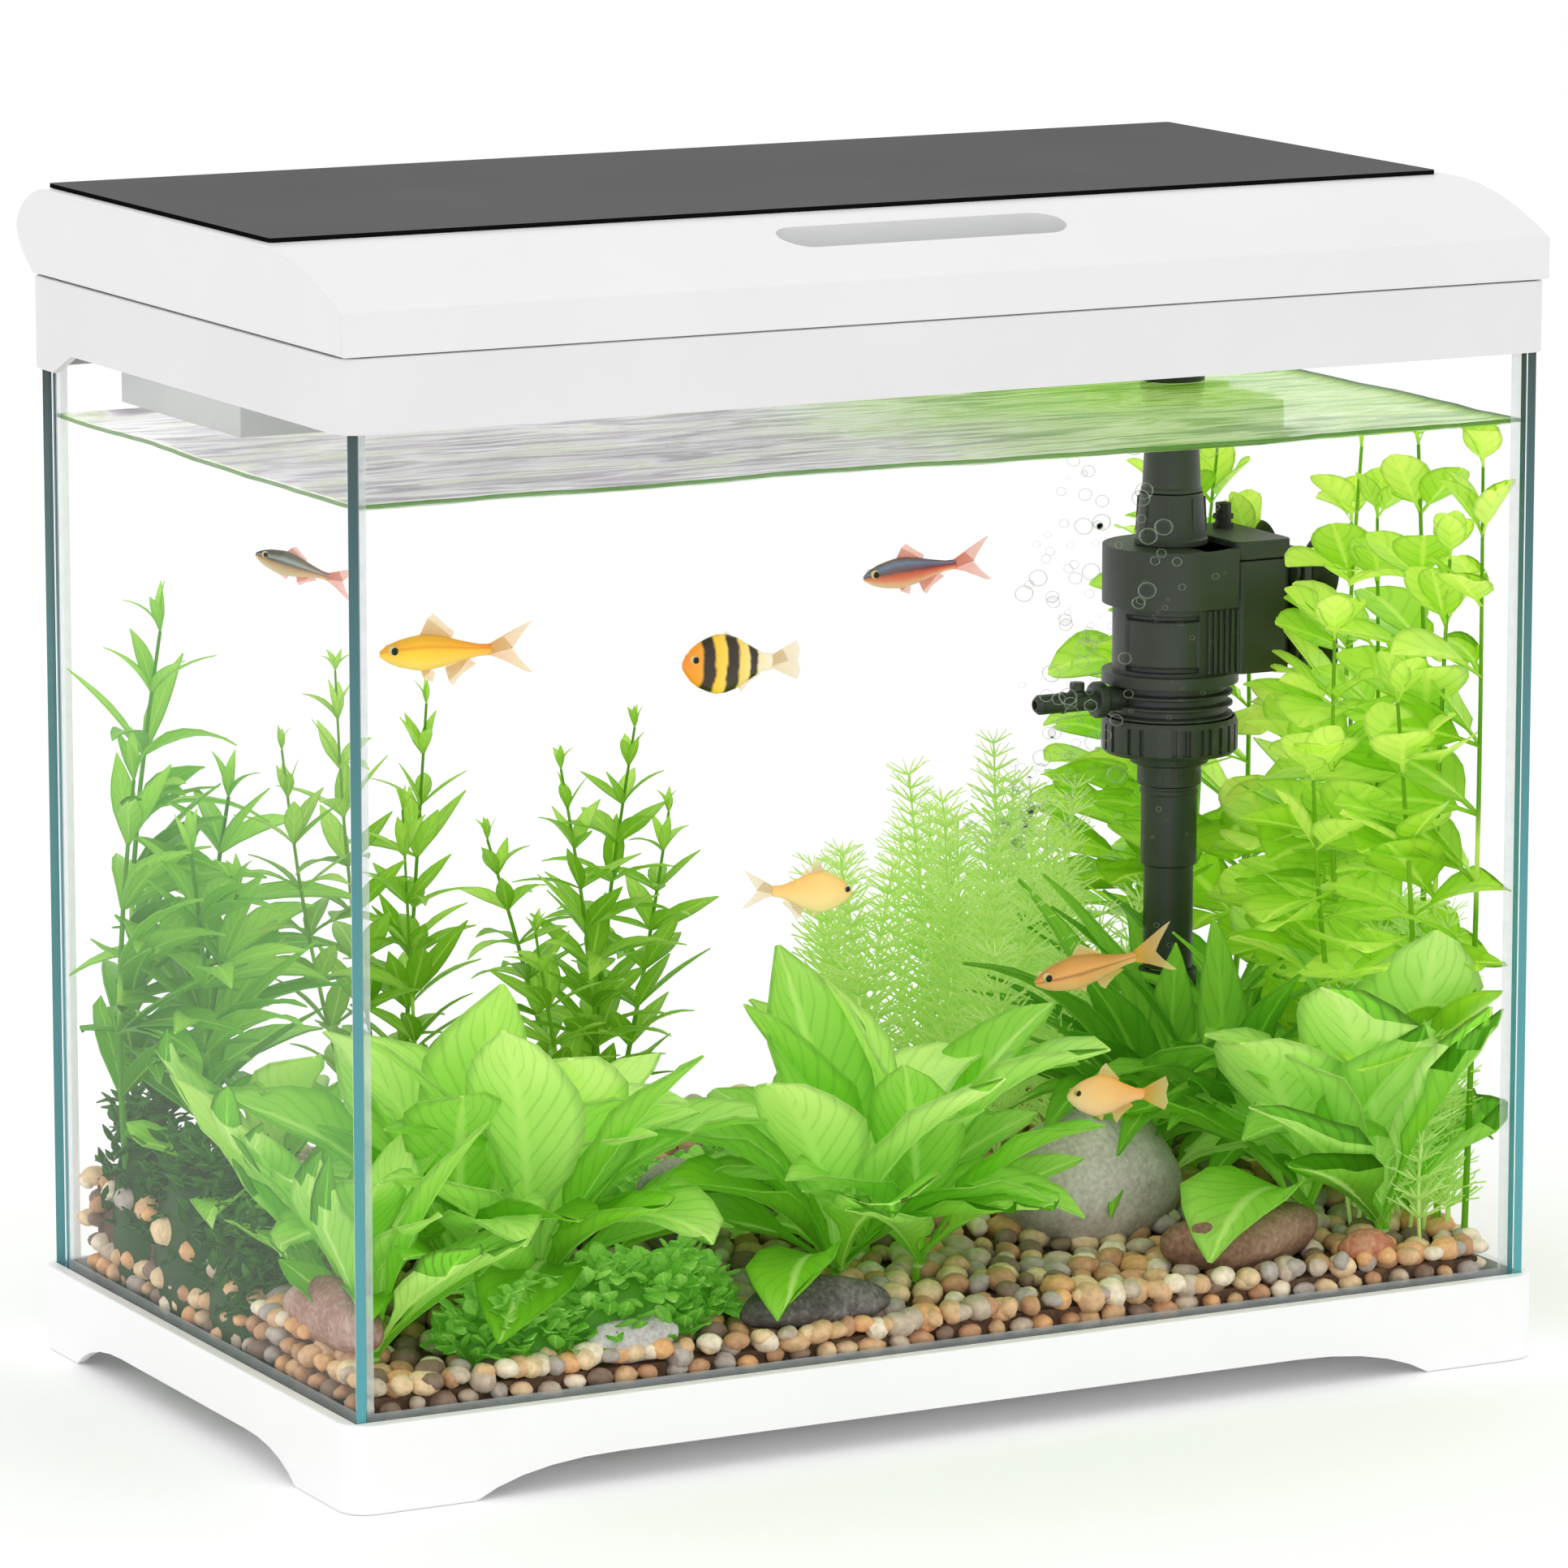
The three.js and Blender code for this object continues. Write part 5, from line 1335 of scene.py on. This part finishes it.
def buildWater(s):
    bpy.ops.object.select_all(action="DESELECT")
    bpy.ops.mesh.primitive_grid_add(x_subdivisions=150, y_subdivisions=90, size=1,
                                    location=at(0, midY, s["level"]))
    water = bpy.context.object
    water.scale = (s["size"][0] * mm, s["size"][1] * mm, 1)
    applyPlace(water)
    pushWithClouds(water, "waterRipple", ((60, s["swell"]), (16, s["ripple"])))
    for v in water.data.vertices:  # the water climbs where it meets the glass
        x, y = abs(v.co.x) / mm, v.co.y / mm + backShift
        gap = min(s["size"][0] / 2 - x, s["size"][1] / 2 - abs(y - midY))
        v.co.z += s["climb"] * mm * math.exp(-gap / s["climbWidth"])
    finishWith(water, "SOLIDIFY", thickness=s["thick"] * mm, offset=-1)
    smoothBy(water, 60)
    paint(water, waterMaterial())
    put(water, "water_surface", "tank")


buildWater(waterSettings)
print("water ready")

# bubbles
bubbleSettings = {"seed": 8, "rising": 120, "crowd": 80, "film": 46}


def buildBubbles(s):
    draw = random.Random(s["seed"])
    bpy.ops.object.select_all(action="DESELECT")
    bpy.ops.mesh.primitive_uv_sphere_add(segments=12, ring_count=8, radius=1)
    bubble = bpy.context.object
    editAll()
    bpy.ops.transform.resize(value=(1, 1, 0.88))
    leaveEdit()
    placed = []

    def add(x, y, z, radius):
        turn = Matrix.Rotation(draw.uniform(-0.4, 0.4), 4, "Y")
        placed.append((bubble, Matrix.Translation(at(x, y, z)) @ turn @ Matrix.Scale(radius * mm, 4), None))

    for _ in range(s["rising"]):  # a plume that widens as it rises beside the pump
        t = draw.random()
        x = 96 + 22 * t + draw.gauss(0, 7 + 9 * t)
        y = 112 + draw.gauss(0, 8)
        add(x, y, 168 + 122 * t, draw.choice((0.8, 1.2, 1.6, 2.2, 3)))
    for _ in range(s["crowd"]):  # the crowd at the foot of the plume
        x, y, z = 84 + draw.gauss(0, 9), 112 + draw.gauss(0, 7), 164 + draw.gauss(0, 7)
        add(x, y, z, draw.choice((0.8, 1.1, 1.6, 2.2)))
    for _ in range(s["film"]):  # the few that cling before the pump
        x, y, z = draw.uniform(118, 156), 100 + draw.gauss(0, 5), draw.uniform(110, 240)
        add(x, y, z, draw.choice((0.45, 0.6, 0.9)))
    bubbles = gather(placed, "air_bubbles")
    throwAway([bubble])
    paint(bubbles, bubbleMaterial())
    put(bubbles, "air_bubbles", "tank")


buildBubbles(bubbleSettings)
print("bubbles ready")

# fish
fishShapes = {
    # half height and half thickness along the body from the nose, as shares of the length
    "slim": [(0, 0.02, 0.015), (0.08, 0.075, 0.05), (0.2, 0.12, 0.072), (0.38, 0.15, 0.08),
             (0.55, 0.13, 0.066), (0.72, 0.085, 0.042), (0.88, 0.05, 0.02), (1, 0.045, 0.008)],
    "full": [(0, 0.02, 0.015), (0.08, 0.1, 0.06), (0.2, 0.18, 0.085), (0.38, 0.235, 0.095),
             (0.55, 0.21, 0.08), (0.72, 0.13, 0.05), (0.88, 0.07, 0.022), (1, 0.06, 0.008)],
    "round": [(0, 0.03, 0.02), (0.08, 0.15, 0.075), (0.2, 0.24, 0.1), (0.38, 0.3, 0.11), (0.55, 0.28, 0.095),
              (0.72, 0.18, 0.06), (0.88, 0.09, 0.025), (1, 0.08, 0.008)],
}
finOutlines = {
    # along the body from the nose, and up: tails in body lengths, the other fins in fin heights
    "tailFork": [(0.96, 0.04), (1.1, 0.1), (1.3, 0.2), (1.36, 0.22), (1.24, 0.08), (1.18, 0), (1.24, -0.08),
                 (1.36, -0.2), (1.3, -0.19), (1.1, -0.09), (0.96, -0.04)],
    "tailFan": [(0.96, 0.05), (1.1, 0.12), (1.26, 0.19), (1.3, 0.1), (1.27, 0), (1.3, -0.1), (1.26, -0.19),
                (1.1, -0.12), (0.96, -0.05)],
    "back": [(0.36, 0.9), (0.42, 1.75), (0.47, 2.0), (0.56, 1.5), (0.66, 1.0), (0.64, 0.7)],
    "belly": [(0.58, -0.8), (0.62, -1.5), (0.66, -1.75), (0.74, -1.2), (0.86, -0.7), (0.8, -0.4)],
    "chest": [(0.36, -0.85), (0.4, -1.3), (0.47, -1.55), (0.5, -1.1), (0.46, -0.8)],
}


def fishSkin(name, s):
    # wet fish skin: tiny scales, a silvery sheen, bands along the body and a darker back
    material, shader = startMaterial(
        name, {"Roughness": 0.3, "IOR": 1.4, "Coat Weight": 0.4, "Coat Roughness": 0.12})
    along = addNode(material, "Attribute", attribute_name="along").outputs["Fac"]
    up = addNode(material, "Attribute", attribute_name="up").outputs["Fac"]
    wobble = addNode(material, "TexNoise", {"Vector": onSurface(material), "Scale": 260.0, "Detail": 2.0})
    shift = addNode(material, "Math", {0: wobble, 1: 0.5}, operation="SUBTRACT")
    shift = addNode(material, "Math", {0: shift, 1: 0.07}, operation="MULTIPLY")
    bands = []
    for source, stops in ((along, s["along"]), (up, s["up"])):
        spot = addNode(material, "Math", {0: source, 1: shift}, operation="ADD")
        bands.append(addNode(material, "ValToRGB", {"Fac": spot}, stops))
    both = addNode(material, "Mix", {"Factor": s["share"], "A": bands[0], "B": bands[1]}, data_type="RGBA")
    scales = addNode(material, "TexVoronoi", {"Vector": onSurface(material), "Scale": 1000 / 0.9})
    bump = addNode(material, "Bump", {"Strength": 0.25, "Distance": 0.12 * mm, "Height": scales})
    connect(material, bump, shader.inputs["Normal"])
    # painted glow: the skin gives out a little light of its own colours
    colourAndGlow(material, shader, both, 0.16)
    return material


def finSkin(name, root, tip):
    # fin membrane: see-through between fine rays, coloured at the root
    material, shader = startMaterial(name, {"Roughness": 0.4, "IOR": 1.38, "Alpha": 0.42})
    along = addNode(material, "Attribute", attribute_name="along").outputs["Fac"]
    tint = addNode(material, "ValToRGB", {"Fac": along}, [(0.0, root), (1.0, tip)])
    rays = addNode(material, "TexWave", {"Vector": onSurface(material), "Scale": 420.0, "Distortion": 1.0},
                   bands_direction="Z")
    share = addNode(material, "Math", {0: rays.outputs["Fac"], 1: 0.25}, operation="MULTIPLY")
    both = addNode(material, "Mix", {"Factor": share, "A": tint, "B": root}, data_type="RGBA")
    connect(material, both, shader.inputs["Base Color"])
    return material


eyeGloss, eyeShader = startMaterial("fishEye", {"Roughness": 0.08, "IOR": 1.45})
eyeUp = addNode(eyeGloss, "Attribute", attribute_name="up").outputs["Fac"]
eyeRamp = addNode(eyeGloss, "ValToRGB", {"Fac": eyeUp},
                  [(0.0, "#e8d9a8"), (0.62, "#d9c27a"), (0.68, "#0c0b0a"), (1.0, "#050505")])
connect(eyeGloss, eyeRamp, eyeShader.inputs["Base Color"])
fishSettings = {"tailReach": 1.33, "middle": 0.65, "eyeAlong": 0.105, "eyeSize": 0.042, "finHeight": 0.78}


def markPoints(item, along, up):
    for name, values in (("along", along), ("up", up)):
        item.data.attributes.new(name, "FLOAT", "POINT").data.foreach_set("value", values)


def buildFish(name, s):
    rows = fishShapes[s["shape"]]
    heights = [(along, high) for along, high, thick in rows]
    widths = [(along, thick) for along, high, thick in rows]
    bpy.ops.object.select_all(action="DESELECT")
    bpy.ops.mesh.primitive_uv_sphere_add(segments=20, ring_count=14, radius=0.5,
                                         rotation=(0, math.pi / 2, 0))
    body = bpy.context.object
    applyPlace(body)
    along, up = [], []
    for v in body.data.vertices:
        t = shade(v.co.x + 0.5) ** 1.05
        ring = max(1e-5, math.hypot(v.co.y, v.co.z))
        rise, side = v.co.z / ring, v.co.y / ring
        if ring < 1e-4:
            rise = side = 0
        v.co = (t, side * shareAt(widths, t), rise * shareAt(heights, t))
        along.append(t)
        up.append(0.5 + 0.5 * rise)
    markPoints(body, along, up)
    smoothBy(body, 80)
    paint(body, s["skin"])
    parts = [body]
    top = max(high for along, high in heights)
    tall = top * s.get("fins", fishSettings["finHeight"])
    for fin in (s["tail"], "back", "belly", "chest"):
        outline = finOutlines[fin]
        bpy.ops.object.select_all(action="DESELECT")
        bpy.ops.mesh.primitive_circle_add(vertices=len(outline), radius=0.1, fill_type="TRIFAN")
        blade = bpy.context.object
        centre = [sum(side) / len(outline) for side in zip(*outline)]
        isTail = fin == s["tail"]
        for v, spot in zip(blade.data.vertices, outline + [centre]):
            v.co = (spot[0], 0.012 * math.sin(spot[1] * 9), spot[1] * (1 if isTail else tall))
        # from the root of the fin to its tip
        reach = [(v.co.x - 0.96) / 0.4 if isTail else abs(v.co.z) / (2 * tall) for v in blade.data.vertices]
        markPoints(blade, reach, reach)
        finishWith(blade, "SOLIDIFY", thickness=0.008, offset=0)
        paint(blade, s["finSkin"])
        parts.append(blade)
    for side in (-1, 1):
        bpy.ops.object.select_all(action="DESELECT")
        eyeSize = s.get("eye", fishSettings["eyeSize"])
        eyeAlong = fishSettings["eyeAlong"]
        place = (eyeAlong, side * shareAt(widths, eyeAlong) * 0.82, top * 0.2)
        bpy.ops.mesh.primitive_uv_sphere_add(segments=14, ring_count=9, radius=eyeSize, location=place,
                                             rotation=(-side * math.pi / 2, 0, 0))
        eye = bpy.context.object
        outward = [max(0, side * ((eye.matrix_world @ v.co).y - place[1])) / eyeSize
                   for v in eye.data.vertices]
        applyPlace(eye)
        markPoints(eye, outward, outward)
        smoothBy(eye, 80)
        paint(eye, eyeGloss)
        parts.append(eye)
    fish = joinAll(parts, name)
    editAll()
    bpy.ops.mesh.normals_make_consistent(inside=False)
    leaveEdit()
    size = s["length"] / fishSettings["tailReach"] * mm
    fish.data.transform(Matrix.Translation(at(*s["place"]))
                        @ Matrix.Rotation(math.radians(s.get("yaw", 0)), 4, "Z")
                        @ Matrix.Rotation(math.radians(s["pitch"]), 4, "Y")
                        @ Matrix.Diagonal((-size if s.get("right") else size, size, size, 1))
                        @ Matrix.Translation((-fishSettings["middle"], 0, 0)))
    if s.get("right"):
        editAll()
        bpy.ops.mesh.flip_normals()
        leaveEdit()
    put(fish, name, "tank")


clearFin = finSkin("clearFin", "#f4d488", "#fff2d0")
yellowFin = finSkin("yellowFin", "#f8b41c", "#fdeeb8")
redFin = finSkin("redFin", "#f0641e", "#fbc0a0")
school = {
    "fish_dark_tetra": {
        "shape": "slim", "tail": "tailFork", "length": 32, "place": (-187, 60, 269), "pitch": 20, "yaw": -6,
        "skin": fishSkin("darkTetraSkin", {
            "along": [(0.0, "#5d564c"), (0.5, "#8d8068"), (0.8, "#c98a3a"), (1.0, "#e8671c")],
            "up": [(0.0, "#d9c9a0"), (0.35, "#b58a4e"), (0.5, "#2b2a26"), (0.62, "#8fa6a0"),
                   (0.8, "#4b463c"), (1.0, "#35322b")],
            "share": 0.8}), "finSkin": redFin},
    "fish_yellow": {
        "shape": "slim", "tail": "tailFork", "length": 49, "place": (-139, 60, 241), "pitch": 2, "fins": 1.05,
        "skin": fishSkin("yellowTetraSkin", {
            "along": [(0.0, "#e3a520"), (0.3, "#f2c32c"), (0.75, "#f0a822"), (1.0, "#ec6a1c")],
            "up": [(0.0, "#f8e48e"), (0.42, "#f2d838"), (0.6, "#f0c41c"), (0.68, "#e06a10"),
                   (0.76, "#f0a818"), (1.0, "#c88a1c")],
            "share": 0.5}), "finSkin": yellowFin},
    "fish_banded": {
        "shape": "round", "tail": "tailFan", "length": 41, "place": (-43, 60, 230), "pitch": 2,
        "eye": 0.045, "fins": 0.55,
        "skin": fishSkin("bandedBarbSkin", {
            "along": [(0.0, "#f08a1c"), (0.17, "#f3a01f"), (0.2, "#17130d"), (0.3, "#17130d"),
                      (0.33, "#f9c534"), (0.43, "#fbd250"), (0.46, "#17130d"), (0.57, "#17130d"),
                      (0.6, "#fad466"), (0.7, "#fadc80"), (0.73, "#1d170f"), (0.8, "#1d170f"),
                      (0.83, "#f4e3b4"), (1.0, "#f6ead0")],
            "up": [(0.0, "#e8b85c"), (1.0, "#c9781a")], "share": 0.03}), "finSkin": clearFin},
    "fish_slim_red": {
        "shape": "slim", "tail": "tailFork", "length": 43, "place": (19.5, 60, 254), "pitch": -4, "fins": 0.9,
        "skin": fishSkin("redTetraSkin", {
            "along": [(0.0, "#b09a78"), (0.3, "#c88a58"), (0.7, "#c04a2c"), (1.0, "#d9442a")],
            "up": [(0.0, "#ecd6b4"), (0.3, "#d87a50"), (0.5, "#b83c22"), (0.6, "#1a2430"),
                   (0.72, "#2c4c66"), (0.84, "#3c7ca4"), (1.0, "#3a3228")],
            "share": 0.8}), "finSkin": redFin},
    "fish_pale": {
        "shape": "full", "tail": "tailFork", "length": 37, "place": (-23, 60, 158), "right": True, "pitch": 6,
        "skin": fishSkin("paleBarbSkin", {
            "along": [(0.0, "#f0c878"), (0.4, "#f6d88a"), (1.0, "#f5b45c")],
            "up": [(0.0, "#fbe8b8"), (0.5, "#f5d07c"), (1.0, "#ecb04e")],
            "share": 0.5}), "finSkin": clearFin},
    "fish_tan": {
        "shape": "slim", "tail": "tailFork", "length": 49, "place": (82.5, 60, 125), "pitch": -8,
        "skin": fishSkin("tanTetraSkin", {
            "along": [(0.0, "#d98a34"), (0.3, "#e2a04a"), (0.7, "#c98e3c"), (1.0, "#d9a860")],
            "up": [(0.0, "#efd2a0"), (0.42, "#e0a458"), (0.5, "#5b3a1a"), (0.58, "#e2a75a"),
                   (0.8, "#c08236"), (1.0, "#8f6a34")],
            "share": 0.6}), "finSkin": yellowFin},
    "fish_small_gold": {
        "shape": "full", "tail": "tailFan", "length": 37, "place": (76, 38, 89), "pitch": 4,
        "skin": fishSkin("smallGoldSkin", {
            "along": [(0.0, "#e8c88a"), (0.4, "#f0b95a"), (1.0, "#f2872e")],
            "up": [(0.0, "#f6e3c4"), (0.5, "#f0c888"), (1.0, "#dba25a")],
            "share": 0.5}), "finSkin": yellowFin},
    "fish_small_blue": {
        "shape": "slim", "tail": "tailFork", "length": 22, "place": (178, 168, 182), "pitch": 0,
        "skin": fishSkin("smallBlueSkin", {
            "along": [(0.0, "#3d6f96"), (0.5, "#3d8fb4"), (1.0, "#d95a2c")],
            "up": [(0.0, "#e0d2b4"), (0.5, "#2f8fc0"), (1.0, "#2d3a44")], "share": 0.5}), "finSkin": redFin},
}
for name, s in school.items():
    buildFish(name, s)
print("fish ready")
